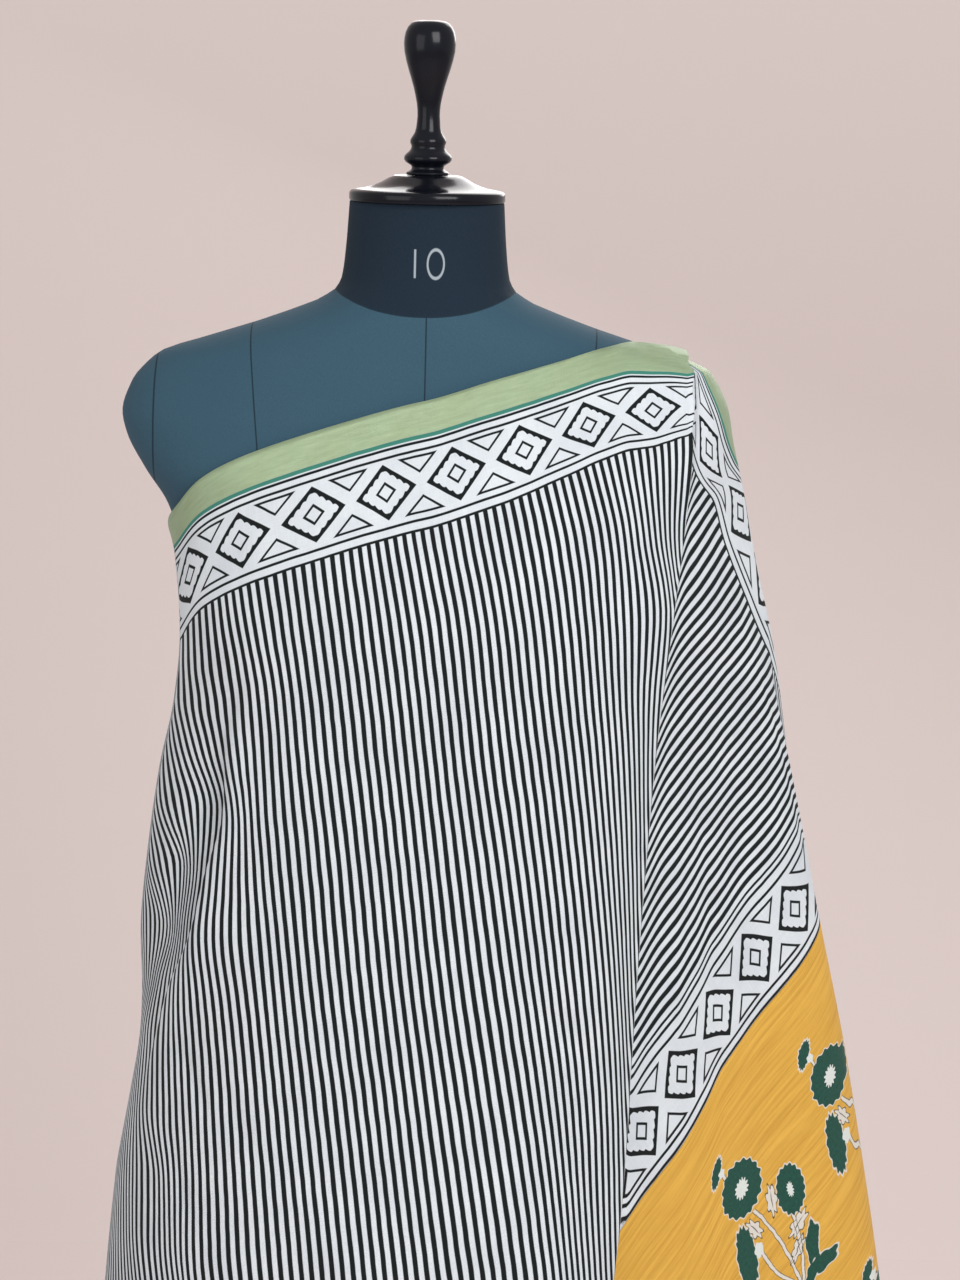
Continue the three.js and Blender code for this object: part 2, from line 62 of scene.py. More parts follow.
def unit(vectors):
    return vectors / (np.linalg.norm(vectors, axis=-1, keepdims=True) + 1e-9)


def bend(low, high, slopeLow, slopeHigh, span, t):
    # a smooth step from low to high with these slopes at its ends
    rise = slopeLow * span * t * (1 - t) ** 2 - slopeHigh * span * t * t * (1 - t)
    return low + rise + (high - low) * t * t * (3 - 2 * t)


def smoothCurve(knots, values):
    # passes through every value and never swings past one
    knots = np.array(knots, float)
    values = np.array(values, float)
    steps = np.diff(values, axis=0) / np.diff(knots).reshape([-1] + [1] * (values.ndim - 1))
    slopes = np.zeros_like(values)
    slopes[0] = steps[0]
    slopes[-1] = steps[-1]
    before, after = steps[:-1], steps[1:]
    total = np.where(before * after > 0, before + after, 1)
    slopes[1:-1] = np.where(before * after > 0, 2 * before * after / total, 0)

    def at(place):
        place = np.asarray(place, float)
        i = np.clip(np.searchsorted(knots, place, side="right") - 1, 0, len(knots) - 2)
        span = knots[i + 1] - knots[i]
        t = np.clip((place - knots[i]) / span, 0, 1)
        if values.ndim > 1:
            span = span[..., None]
            t = t[..., None]
        return bend(values[i], values[i + 1], slopes[i], slopes[i + 1], span, t)
    return at


def table(names, rows):
    return [dict(zip(names.split(), row)) for row in rows]


def curves(rows, by):
    knots = [row[by] for row in rows]
    return {key: smoothCurve(knots, [row[key] for row in rows]) for key in rows[0] if key != by}


def ovalPoint(left, right, front, back, squareness, angle, z):
    # angle 0 looks to the front and 90 to the form's left
    sine = np.sin(np.radians(angle))
    cosine = np.cos(np.radians(angle))
    power = 2 / squareness
    side = np.where(sine < 0, left, right)
    depth = np.where(cosine > 0, -front, back)
    x = np.sign(sine) * side * np.abs(sine) ** power
    y = depth * np.abs(cosine) ** power
    return np.stack([x, y, z + x * 0], -1)


# tables shared with the part's source

formRows = table("z half front back square", [
    (784, 160, 104, 113, 2.2),
    (792, 169, 112, 121, 2.2),
    (830, 172, 114, 124, 2.2),
    (900, 160, 106, 112, 2.2),
    (980, 134, 94, 90, 2.1),
    (1040, 121, 86, 78, 2.1),
    (1100, 126, 90, 76, 2.2),
    (1150, 135, 104, 79, 2.3),
    (1200, 145, 122, 86, 2.4),
    (1245, 152, 128, 94, 2.5),
    (1300, 164, 118, 100, 2.4),
    (1336, 176, 106, 100, 2.3),
    (1360, 192, 97, 99, 2.3),
    (1384, 205, 87, 96, 2.2),
    (1398, 208, 82, 94, 2.2),
    (1420, 201, 74, 89, 2.2),
    (1430, 193, 71, 86, 2.1),
    (1440, 181, 68, 83, 2.1),
    (1450, 151, 66, 79, 2.1),
    (1460, 120, 64, 75, 2.1),
    (1470, 92, 62, 71, 2),
    (1480, 69, 59, 67, 2),
    (1492, 58, 54, 63, 2),
    (1515, 55, 50, 60, 2),
    (1545, 53, 48, 58, 2),
])

skirtRows = table("z half front back square", [
    (12, 206, 184, 184, 2.2),
    (170, 200, 172, 176, 2.2),
    (400, 190, 154, 162, 2.2),
    (600, 184, 140, 148, 2.2),
    (768, 179, 126, 134, 2.2),
    (830, 176.5, 119, 129, 2.2),
    (900, 164, 110, 116, 2.2),
    (980, 137, 97, 93, 2.1),
    (1046, 123.7, 88.9, 80.5, 2.1),
])

drapeRows = table("z left right front back nearRight nearFront square", [
    (20, 250, 244, 216, 212, 215, 196, 2.3),
    (170, 246, 240, 208, 202, 209, 184, 2.3),
    (400, 236, 232, 192, 184, 198, 166, 2.3),
    (600, 226, 226, 178, 166, 191, 150, 2.3),
    (768, 217, 222, 166, 150, 186, 135, 2.3),
    (850, 210, 220, 162, 144, 183, 128, 2.3),
    (950, 198, 218, 153, 130, 160, 110, 2.3),
    (1040, 193, 216, 146, 115, 138, 100, 2.4),
    (1100, 187, 215, 140, 106, 140, 104, 2.4),
    (1150, 180, 214, 136, 99, 146, 110, 2.4),
    (1200, 170, 213, 133, 95, 152, 126, 2.4),
    (1245, 166, 212, 131, 98, 158, 130, 2.5),
    (1300, 170, 214, 122.5, 103, 168, 121, 2.4),
    (1330, 179, 215, 112, 103, 178, 112, 2.3),
    (1360, 196, 216, 101, 102, 196, 101, 2.3),
    (1388, 211, 218, 90, 99, 211, 90, 2.2),
    (1410, 209, 214, 82.5, 96, 209, 82, 2.2),
    (1430, 197, 205, 76.5, 91, 197, 76, 2.1),
    (1441, 184, 195, 73, 88, 184, 73, 2.1),
    (1453, 148, 168, 70, 84, 148, 70, 2.1),
    (1464, 118, 130, 68, 80, 118, 68, 2.1),
])

edgeRows = table("angle top hem", [
    (-300, 1084, 50),
    (-270, 1116, 30),
    (-225, 1150, 24),
    (-180, 1176, 30),
    (-150, 1208, 62),
    (-125, 1252, 112),
    (-108, 1281, 146),
    (-90, 1308, 172),
    (-75, 1327, 190),
    (-60, 1342, 206),
    (-45, 1362, 220),
    (-30, 1380, 233),
    (-15, 1398, 244),
    (0, 1416, 254),
    (15, 1433, 264),
    (30, 1445, 276),
    (45, 1452, 288),
    (60, 1455, 300),
    (75, 1452, 312),
    (90, 1442, 324),
])

valleyRows = table("z x roll", [
    (160, 130, 1),
    (400, 136, 1),
    (768, 140, 1),
    (938, 147, 1),
    (1037, 151, 1),
    (1149, 157, 1),
    (1260, 168, 0.85),
    (1340, 178, 0.5),
    (1372, 182, 0.3),
    (1410, 184, 0.15),
    (1441, 184, 0.08),
    (1456, 170, 0.05),
])

fallRows = table("z sideX sideY backX backY edgeX edgeY bow flute", [
    (90, 398, 108, 345, 226, 50, 236, 4, 17),
    (250, 396, 106, 342, 224, 54, 232, 4, 17),
    (400, 388, 104, 334, 220, 58, 224, 4, 17),
    (600, 370, 101, 318, 208, 64, 206, 4, 16),
    (764, 345, 96, 304, 198, 72, 192, 4, 14),
    (836, 332, 92, 296, 192, 78, 184, 4, 13),
    (925, 315, 86, 284, 184, 96, 172, 5, 11),
    (1025, 293, 78, 270, 170, 118, 158, 5, 8),
    (1104, 277, 70, 258, 152, 138, 144, 5, 5),
    (1187, 260, 60, 246, 126, 162, 128, 6, 3),
    (1256, 245, 50, 238, 96, 192, 112, 7, 1),
    (1313, 232, 38, 230, 66, 212, 86, 8, 0),
    (1350, 224, 27, 223, 46, 217, 62, 9, 0),
    (1386, 215, 12, 212, 24, 204.6, 38, 11, 0),
    (1406, 211, 6, 208.5, 15, 203.6, 27, 11, 0),
    (1430, 199, 0, 197, 8, 192.6, 18, 8, 0),
    (1436, 194, -2, 191, 6, 186, 14, 6, 0),
])

formAt = curves(formRows, "z")
skirtAt = curves(skirtRows, "z")
drapeAt = curves(drapeRows, "z")
edgeAt = curves(edgeRows, "angle")
valleyAt = curves(valleyRows, "z")
fallAt = curves(fallRows, "z")

cloth = {
    # stripePitch is one black and one white stripe, and borderDepth is where the stripes start
    "stripePitch": 6.4,
    "width": 1150,
    "borderDepth": 78,
    "thickness": 1.0,
    "seamAngle": -125,
    "headingRun": 488,
    "endRun": 990,
    "grainAngle": 51,
    "rollDepth": 15,
}


# meshes

def gridObject(name, points, uv=None, isTube=False):
    # rows run down and columns run to the form's left, so faces look outwards
    rows, cols = points.shape[:2]
    spans = cols if isTube else cols - 1
    r = np.arange(rows - 1)[:, None]
    c = np.arange(spans)[None, :]
    nextC = (c + 1) % cols
    faces = np.stack([r * cols + c, (r + 1) * cols + c, (r + 1) * cols + nextC, r * cols + nextC], -1)
    faces = faces.reshape(-1, 4)
    mesh = bpy.data.meshes.new(name)
    mesh.from_pydata((points.reshape(-1, 3) * mm).tolist(), [], faces.tolist())
    if uv is not None:
        layer = mesh.uv_layers.new(name="cloth")
        flat = uv.reshape(-1, 2) * mm
        if isTube:
            corner = np.stack([r * (cols + 1) + c, (r + 1) * (cols + 1) + c, (r + 1) * (cols + 1) + c + 1,
                               r * (cols + 1) + c + 1], -1).reshape(-1, 4)
        else:
            corner = faces
        layer.data.foreach_set("uv", flat[corner.reshape(-1)].reshape(-1))
    mesh.update()
    piece = bpy.data.objects.new(name, mesh)
    bpy.context.scene.collection.objects.link(piece)
    return piece


def pick(piece):
    bpy.ops.object.select_all(action="DESELECT")
    piece.select_set(True)
    bpy.context.view_layer.objects.active = piece


def addWall(piece, thickness):
    print(piece.name, "covers", round(sum(face.area for face in piece.data.polygons), 3), "square metres")
    pick(piece)
    wall = piece.modifiers.new("wall", "SOLIDIFY")
    wall.thickness = thickness * mm
    wall.offset = 0
    bpy.ops.object.modifier_apply(modifier=wall.name)
    bpy.ops.object.shade_smooth()


def turnedPiece(name, foot, steps, profile):
    # profile of radius and height over the foot, from the bottom up, starting and ending on the axis
    bpy.ops.object.select_all(action="DESELECT")
    bpy.ops.mesh.primitive_plane_add(size=0.01, location=(0, 0, 0))
    piece = bpy.context.object
    piece.name = name
    bpy.ops.object.mode_set(mode="EDIT")
    bpy.ops.mesh.select_all(action="SELECT")
    bpy.ops.mesh.delete(type="VERT")
    body = bmesh.from_edit_mesh(piece.data)
    points = [body.verts.new((r * mm, 0, (foot + z) * mm)) for r, z in profile]
    for a, b in zip(points, points[1:]):
        body.edges.new((a, b))
    bmesh.update_edit_mesh(piece.data)
    bpy.ops.mesh.select_all(action="SELECT")
    bpy.ops.mesh.spin(steps=steps, angle=math.tau, center=(0, 0, 0), axis=(0, 0, 1))
    bpy.ops.mesh.select_all(action="SELECT")
    bpy.ops.mesh.remove_doubles(threshold=0.00001)
    bpy.ops.mesh.normals_make_consistent(inside=False)
    bpy.ops.object.mode_set(mode="OBJECT")
    bpy.ops.object.shade_smooth_by_angle(angle=math.radians(38))
    return piece


def finish(piece, nodes, material):
    piece.data.materials.clear()
    piece.data.materials.append(material)
    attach(piece, "root")
    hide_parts(*nodes)


# the form under the cloth

form = {
    "sides": 144,
    "rows": 190,
    "armSeam": 183,
    "seamDepth": 1.1,
    "seamWidth": 1.1,
}


def formGrid():
    z = np.linspace(784, 1545, form["rows"])[::-1]
    angle = np.linspace(-180, 180, form["sides"], endpoint=False)
    zz, aa = np.meshgrid(z, angle, indexing="ij")
    half = formAt["half"](zz)
    points = ovalPoint(half, half, formAt["front"](zz), formAt["back"](zz), formAt["square"](zz), aa, zz)
    x, y = points[..., 0], points[..., 1]
    # sewn seams: round the neck, down the middle and over each side of the chest
    neckSeam = 1471 + 14 * np.minimum(1, np.abs(x / 61)) ** 2.2
    groove = hump(zz, neckSeam, 1.3)
    groove = np.maximum(groove, hump(x, 2, form["seamWidth"]) * (zz < neckSeam))
    sideSeam = 96 + (zz - 1250) * 0.105
    groove = np.maximum(groove, hump(np.abs(x), sideSeam, form["seamWidth"]) * (zz < 1462) * 0.8)
    outward = unit(np.stack([x, y, x * 0], -1))
    return points - outward * (groove * form["seamDepth"])[..., None]


def buildForm(material):
    points = formGrid()
    piece = gridObject("formTorso", points, isTube=True)
    pick(piece)
    bpy.ops.object.mode_set(mode="EDIT")
    bpy.ops.mesh.select_all(action="SELECT")
    bpy.ops.mesh.fill_holes(sides=0)
    bpy.ops.mesh.select_all(action="SELECT")
    bpy.ops.mesh.normals_make_consistent(inside=False)
    bpy.ops.object.mode_set(mode="OBJECT")
    bpy.ops.object.shade_smooth_by_angle(angle=math.radians(50))
    finish(piece, ["form_torso", "form_arm_cap_left", "form_arm_cap_right"], material)
    return piece


# the cloth over the form

# Where each stripe lies across the front: x of every counted stripe at each height
leftCounts = [-20, -16, -13, -9, -6, -3, 0, 3]
leftStripes = table("z x", [
    (160, [-214, -188, -166, -138, -116, -93, -70, -50]),
    (400, [-222, -200, -182, -158, -137, -116, -95, -76]),
    (768, [-214, -203, -193, -178, -164, -151, -138, -121]),
    (834, [-211, -205, -198, -187, -173, -161, -149, -132]),
    (878, [-207, -204, -199, -188, -174, -163, -150, -134]),
    (922, [-203, -200, -197, -190, -181, -168, -153, -137]),
    (965, [-200, -196, -193, -188, -181, -169, -156, -140]),
    (1008, [-198, -192, -187, -180, -175, -167, -158, -144]),
    (1051, [-200, -194, -188, -174, -166, -161, -156, -148]),
    (1094, [-203, -198, -194, -188, -175, -159, -152, -144]),
    (1136, [-205, -201, -198, -193, -187, -176, -158, -142]),
    (1178, [-201, -198, -194, -190, -186, -181, -171, -156]),
    (1206, [-204, -200, -198, -194, -190, -186, -179, -164]),
    (1234, [-200, -196, -193, -190, -186, -183, -173, -165]),
    (1276, [-216, -208, -201, -193, -186, -180, -173, -165]),
    (1327, [-244, -231, -221, -208, -198, -188, -178, -168]),
    (1385, [-295, -276, -262, -244, -230, -216, -202, -185]),
    (1430, [-305, -286, -272, -254, -240, -226, -212, -195]),
])
rightCounts = [12, 18, 24, 30, 36, 42, 48, 54, 60, 66]
rightStripes = table("z x", [
    (160, [12, 52, 90, 118, 138, 154, 170, 185, 200, 215]),
    (400, [-18, 22, 65, 103, 128, 145, 160, 175, 190, 205]),
    (768, [-62, -19, 25, 70, 108, 131, 150, 166, 180, 194]),
    (862, [-72, -30, 12, 56, 97, 123, 146, 162, 176, 190]),
    (947, [-82, -41, 0, 42, 84, 116, 142, 157, 170, 184]),
    (1031, [-92, -53, -12, 28, 70, 105, 135, 152, 166, 180]),
    (1114, [-101, -62, -22, 17, 57, 94, 126, 148, 164, 180]),
    (1182, [-107, -71, -31, 8, 46, 84, 118, 144, 163, 180]),
    (1222, [-111, -75.5, -36, 3, 41, 78, 113, 141, 164, 184]),
    (1276, [-121.5, -84, -44, -5, 34, 71, 107, 138, 167, 182]),
    (1327, [-129, -92, -52, -15, 23, 61, 99, 133, 159, 178]),
    (1385, [-133, -97, -60, -24, 12, 48, 84, 119, 152, 182]),
    (1430, [-142, -106, -69, -33, 3, 38, 73, 107, 143, 180]),
])
stripeCounts = leftCounts + rightCounts
leftLineAt, rightLineAt = [smoothCurve([row["z"] for row in rows], [row["x"] for row in rows])
                           for rows in (leftStripes, rightStripes)]

# Depth in z of the border at each x of the upper edge
borderDropAt = smoothCurve([-200, -176, -145, -105, -45, 21, 54, 87, 120, 153, 184],
                           [104, 103, 90, 86, 84, 83, 82, 78, 73, 67, 52])

foldRows = table("z x depth", [
    (860, -208, 0),
    (921, -194.5, 3),
    (964, -186, 7),
    (1008, -176, 10),
    (1051, -160, 11.5),
    (1094, -150, 12),
    (1136, -137.5, 11),
    (1157, -136, 9),
    (1187, -134, 6),
    (1212, -124, 3),
    (1245, -118, 0),
])
foldAt = curves(foldRows, "z")

# Short soft creases, given one by one: start and end on the front (x, z), depth and half width
frontCreases = table("from to depth width", [
    ((-151, 959), (-139, 937), 2.2, 5),
    ((-159, 893), (-151, 864), 1.8, 5),
    ((-120, 942), (-106, 915), 1.6, 6),
    ((88, 1013), (130, 972), 2.2, 9),
    ((111, 908), (141, 815), 2.8, 10),
    ((148, 1453), (188, 1440), 4.5, 3),
    ((160, 1457), (192, 1449), -3.0, 3),
    ((128, 1443), (184, 1424), 1.6, 6),
    ((160, 1420), (183, 1398), 1.6, 5),
    ((40, 1120), (96, 860), 1.5, 26),
    ((-70, 1150), (-30, 820), -1.4, 30),
])


def creaseSum(x, z, creases):
    total = np.zeros_like(x)
    for crease in creases:
        (x0, z0), (x1, z1) = crease["from"], crease["to"]
        length = math.hypot(x1 - x0, z1 - z0)
        along = ((x - x0) * (x1 - x0) + (z - z0) * (z1 - z0)) / length
        across = ((x - x0) * (z1 - z0) - (z - z0) * (x1 - x0)) / length
        beyond = np.maximum(0, np.abs(along - length / 2) - length / 2)
        width = crease["width"]
        total += crease["depth"] * np.exp(-(across / width) ** 2 - (beyond / (2 * width)) ** 2)
    return total


def drapeOval(angle, z, near=False):
    left, back, square = drapeAt["left"](z), drapeAt["back"](z), drapeAt["square"](z)
    right = drapeAt["nearRight" if near else "right"](z)
    front = drapeAt["nearFront" if near else "front"](z)
    return ovalPoint(left, right, front, back, square, angle, z)


def drapePoint(angle, z, isFront=True):
    points = drapeOval(angle, z)
    x, y = points[..., 0], points[..., 1]
    outward = unit(np.stack([x, y * 1.6, x * 0], -1))
    lift = 11 * (1 - ease(150, 950, z)) * (1 + np.sin(np.radians(angle * 6.5 + 40))) / 2
    if isFront:
        away = (x - foldAt["x"](z)) / np.where(x > foldAt["x"](z), 7, 17)
        lift = lift - foldAt["depth"](z) * np.exp(-away ** 2) * (y < 40)
        lift = lift + 0.3 * foldAt["depth"](z) * hump(x, foldAt["x"](z) + 17, 9) * (y < 40)
        lift = lift - creaseSum(x, z, frontCreases) * (y < 0)
        lift = lift + 0.7 * np.sin(x * 0.052 + z * 0.011) * np.sin(z * 0.017 + 1.2) * ease(-190, -120, x)
    return points + outward * lift[..., None]


def edgeAngle(z):
    share = np.minimum(0.999, valleyAt["x"](z) / drapeAt["right"](z))
    return np.degrees(np.arcsin(share ** (drapeAt["square"](z) / 2)))


def topLevel(angleAt, like):
    low = np.full_like(like, 1000.0)
    high = np.full_like(like, 1458.0)
    for step in range(30):
        middle = (low + high) / 2
        isBelow = middle < edgeAt["top"](angleAt(middle))
        low = np.where(isBelow, middle, low)
        high = np.where(isBelow, high, middle)
    return low


def stripeRun(points):
    # run along the cloth from the counted stripes, carried on by true length past the last one seen
    x, z = points[..., 0], points[..., 2]
    lines = np.concatenate([leftLineAt(z), rightLineAt(z)], -1)
    counts = np.array(stripeCounts, float)
    i = np.clip((lines < x[..., None]).sum(-1) - 1, 0, len(counts) - 2)

    def take(offset):
        j = np.clip(i + offset, 0, len(counts) - 1)
        return np.take_along_axis(lines, j[..., None], -1)[..., 0], counts[j]
    (xa, ka), (xb, kb), (xc, kc), (xd, kd) = take(-1), take(0), take(1), take(2)
    middle = (kc - kb) / (xc - xb)
    before = np.where(xb > xa, (kb - ka) / np.maximum(xb - xa, 1e-6), middle)
    after = np.where(xd > xc, (kd - kc) / np.maximum(xd - xc, 1e-6), middle)
    slopeB = 2 * before * middle / (before + middle)
    slopeC = 2 * after * middle / (after + middle)
    span = xc - xb
    t = np.clip((x - xb) / span, 0, 1)
    return bend(kb, kc, slopeB, slopeC, span, t) * cloth["stripePitch"]


def frontGrid(columns=236, rows=182):
    share = np.linspace(0, 1, rows) ** 1.12
    across = np.linspace(0, 1, columns)
    start = cloth["seamAngle"] + 0.1

    def angleAt(z):
        return mix(start, edgeAngle(z), across)
    top = topLevel(angleAt, across)
    hem = edgeAt["hem"](angleAt(np.full_like(across, 300.0)))
    z = mix(top[None, :], hem[None, :], share[:, None])
    angle = mix(start, edgeAngle(z), across[None, :])
    points = drapePoint(angle, z)
    # run along the cloth
    run = stripeRun(points)
    steps = np.linalg.norm(np.diff(points, axis=1), axis=-1)
    lastCounted = leftLineAt(z)[..., 0]
    seen = (angle > -84) & (points[..., 0] > np.maximum(drapeAt["left"](z) * -0.985, lastCounted))
    first = np.argmax(seen, axis=1)
    for r in range(rows):
        for c in range(first[r] - 1, -1, -1):
            run[r, c] = run[r, c + 1] - steps[r, c]
    # depth from the border edge
    topX = points[0, :, 0]
    isAhead = np.degrees(np.arctan2(points[0, :, 0], -points[0, :, 1])) > -80
    topHere = np.interp(points[..., 0], topX[isAhead], top[isAhead])
    topHere = mix(top[None, :] + 0 * z, topHere, ease(-88, -80, angle))
    fall = np.maximum(0, topHere - z)
    drop = borderDropAt(points[..., 0])
    drop = np.where(angle < -90, mix(103, 84, ease(-90, -125, angle)), drop)
    whole = (top - hem)[None, :]
    depth = cloth["borderDepth"]
    below = depth + (cloth["width"] - depth) * (fall - drop) / (whole - drop)
    deep = np.where(fall < drop, depth * fall / drop, below)
    # rolled right edge
    roll = valleyAt["roll"](z[:, -1])
    extra, extraRun = [], []
    rollPath = smoothCurve([0, 1, 2, 3, 4], [[0, 0], [2.5, 0.15], [3, 0.5], [0, 0.85], [-7, 1]])
    for t in np.linspace(0.25, 4, 14):
        side, back = rollPath(np.array([t]))[0]
        extra.append(points[:, -1] + np.stack([side * roll, back * roll * cloth["rollDepth"], roll * 0], -1))
        extraRun.append(run[:, -1] + roll * 5.5 * t)
    points = np.concatenate([points, np.stack(extra, 1)], 1)
    run = np.concatenate([run, np.stack(extraRun, 1)], 1)
    deep = np.concatenate([deep, np.repeat(deep[:, -1:], 14, 1)], 1)
    return points, np.stack([run, deep], -1)


def backGrid(seamRun, columns=200, rows=130):
    share = np.linspace(0, 1, rows)
    angle = np.linspace(-300, cloth["seamAngle"] - 0.1, columns)
    top, hem = edgeAt["top"](angle), edgeAt["hem"](angle)
    z = mix(top[None, :], hem[None, :], share[:, None])
    angle = np.repeat(angle[None, :], rows, 0)
    near = drapeOval(angle, z, near=True)
    far = drapePoint(angle, z, isFront=False)
    points = np.where((angle < -180)[..., None], near, far)
    # its run carries on from the front panel's at the seam
    steps = np.linalg.norm(np.diff(points, axis=1), axis=-1)
    run = seamRun - np.concatenate([np.cumsum(steps[:, ::-1], 1)[:, ::-1], np.zeros((len(z), 1))], 1)
    deep = (top[None, :] - z) / (top - hem)[None, :] * cloth["width"]
    return points, np.stack([run, deep], -1)


fallCount = 240


def fallTable():
    # levels of the fall at fine steps in z; each level is a smooth curve through seven points
    z = np.arange(84.0, 1437.0, 4.0)
    valleyX, roll = valleyAt["x"](z), valleyAt["roll"](z)
    tuckedX = valleyX + mix(-14, -24, ease(0.1, 0.7, roll))
    tuckedAngle = np.degrees(np.arcsin((tuckedX / drapeAt["right"](z)) ** (drapeAt["square"](z) / 2)))
    tucked = drapePoint(tuckedAngle, z, isFront=False)
    behind = 2.2 + roll * (cloth["rollDepth"] + 4.5) + 1.3 * ease(0.1, 0.35, roll)
    start = np.stack([tuckedX, tucked[:, 1] + behind + roll * 3], -1)
    row = {key: fallAt[key](z) for key in fallAt}
    side = np.stack([row["sideX"], row["sideY"]], -1)
    chord = side - start
    outward = unit(np.stack([chord[:, 1], -chord[:, 0]], -1))
    bow = row["bow"][:, None]
    back = np.stack([row["backX"], row["backY"]], -1)
    edge = np.stack([row["edgeX"], row["edgeY"]], -1)
    between = (back + edge) / 2
    between[:, 1] += (back[:, 0] - edge[:, 0]) * 0.06
    quarter, past = start + chord * 0.25 + outward * bow * 0.75, start + chord * 0.6 + outward * bow
    knots = [start, quarter, past, side, back, between, edge]
    knots = [2 * knots[0] - knots[1]] + knots + [2 * knots[-1] - knots[-2]]
    samples = []
    for i in range(6):
        p0, p1, p2, p3 = knots[i:i + 4]
        d0, d1, d2 = [np.sqrt(np.linalg.norm(b - a, axis=-1, keepdims=True)) for a, b in
                      ((p0, p1), (p1, p2), (p2, p3))]
        t1 = ((p1 - p0) / d0 - (p2 - p0) / (d0 + d1) + (p2 - p1) / d1) * d1
        t2 = ((p2 - p1) / d1 - (p3 - p1) / (d1 + d2) + (p3 - p2) / d2) * d1
        for t in np.linspace(0, 1, 60, endpoint=i == 5):
            samples.append(p1 + t1 * t + (-3 * p1 + 3 * p2 - 2 * t1 - t2) * t ** 2 +
                           (2 * p1 - 2 * p2 + t1 + t2) * t ** 3)
    line = np.stack(samples, 1)
    steps = np.linalg.norm(np.diff(line, axis=1), axis=-1)
    length = np.concatenate([np.zeros((len(z), 1)), np.cumsum(steps, 1)], 1)
    share = np.linspace(0, 1, fallCount + 1)
    even = np.empty((len(z), fallCount + 1, 2))
    for level in range(len(z)):
        for axis in (0, 1):
            even[level, :, axis] = np.interp(share * length[level, -1], length[level], line[level, :, axis])
    return z, even, length[:, -1], length[:, 180] / length[:, -1]


fallZ, fallEven, fallLength, fallSide = fallTable()


def fallPoint(share, z):
    level = np.clip((z - fallZ[0]) / 4.0, 0, len(fallZ) - 1.001)
    i = level.astype(int)
    f = (level - i)[..., None]
    c = share * fallCount
    j = np.clip(c.astype(int), 0, fallCount - 1)
    g = (c - j)[..., None]

    def at(a, b):
        return fallEven[a, b]
    flat = mix(mix(at(i, j), at(i, j + 1), g), mix(at(i + 1, j), at(i + 1, j + 1), g), f)
    along = mix(at(i, j + 1) - at(i, j), at(i + 1, j + 1) - at(i + 1, j), f)
    outward = unit(np.stack([along[..., 1], -along[..., 0]], -1))
    flute = fallAt["flute"](z) * ease(0.42, 0.6, share) * np.sin(np.radians(360 * (share - 0.42) * 5))
    flat = flat + outward * flute[..., None]
    return np.concatenate([flat, z[..., None]], -1)


# the fall's soft folds push its heading line down and up again
headingWave = smoothCurve([0, 0.055, 0.1, 0.156, 0.2, 0.242, 0.316, 0.394, 0.445, 1],
                          [12, 11, 8, 9, 4, -4, -3, 1, 3, 0])


def fallRun(share, z):
    grain = math.radians(cloth["grainAngle"])
    outwards = np.interp(z, fallZ, fallLength) * share * math.cos(grain)
    return outwards + (1453 - z) * math.sin(grain) - headingWave(share)


# The fall's stripe count and its depth from the border edge, at five places from the valley to the side
fallCounts = table("z at", [
    (850, [75.2, 79.8, 84.5, 89.0, 93.5]),
    (900, [70.8, 75.2, 79.8, 84.5, 89.0]),
    (940, [67.1, 71.6, 76.2, 80.5, 84.5]),
    (980, [63.6, 67.4, 71.7, 75.9, 79.8]),
    (1040, [58.3, 61.6, 65.3, 69.1, 72.5]),
    (1100, [52.8, 55.9, 59.1, 62.3, 65.5]),
    (1160, [47.2, 50.0, 52.7, 55.6, 58.2]),
    (1220, [41.7, 44.2, 46.5, 48.7, 51.0]),
    (1280, [36.3, 38.1, 39.9, 41.9, 44.5]),
    (1340, [31.6, 33.0, 34.5, 35.8, 37.5]),
    (1400, [26.4, 27.4, 28.0, 29.0, 29.8]),
    (1436, [22.9, 23.3, 23.6, 24.1, 24.9]),
])
fallDepths = table("z at", [
    (90, [928, 856, 785, 714, 643]),
    (300, [796, 726, 657, 588, 519]),
    (600, [607, 547, 488, 428, 369]),
    (800, [481, 430, 378, 326, 275]),
    (918, [407, 360, 313, 266, 219]),
    (1046, [325, 286, 246, 208, 170]),
    (1150, [252, 219, 186, 152, 118]),
    (1227, [190, 161, 133, 104, 75]),
    (1270, [165, 139, 112, 86, 60]),
    (1316, [128, 108, 88, 67, 47]),
    (1346, [104, 91, 76, 57, 36]),
    (1370, [84, 68, 51, 34, 19]),
    (1398, [64, 50, 36, 22, 11]),
    (1414, [52, 40, 28, 17, 10]),
    (1436, [38, 29, 21, 13, 8]),
])
fallCountAt, fallDepthAt = [smoothCurve([row["z"] for row in rows], [row["at"] for row in rows])
                            for rows in (fallCounts, fallDepths)]


def placeOnFall(share, points):
    # 0 at the valley, 1 at the side, 2 at the back edge
    z = points[..., 2]
    sideShare = np.interp(z, fallZ, fallSide)
    valleyX, sideX = valleyAt["x"](z), fallAt["sideX"](z)
    front = np.minimum(1, (points[..., 0] - valleyX) / (sideX - valleyX))
    return np.where(share < sideShare, front, 1 + (share - sideShare) / (1 - sideShare))


def acrossFall(values, place):
    # values at places 0, 0.25, 0.5, 0.75 and 1, carried on in a straight line before the first
    i = np.clip((place * 4).astype(int), 0, 3)
    first = np.take_along_axis(values, i[..., None], -1)[..., 0]
    second = np.take_along_axis(values, i[..., None] + 1, -1)[..., 0]
    return mix(first, second, np.minimum(1, place * 4 - i))


def levelOfRun(share, run):
    low, high = np.full_like(share, 90.0), np.full_like(share, 1434.0)
    for step in range(24):
        middle = (low + high) / 2
        isPast = fallRun(share, middle) > run
        low = np.where(isPast, middle, low)
        high = np.where(isPast, high, middle)
    return (low + high) / 2


def shoulderLevel(share):
    return np.full_like(share, 1434.0)


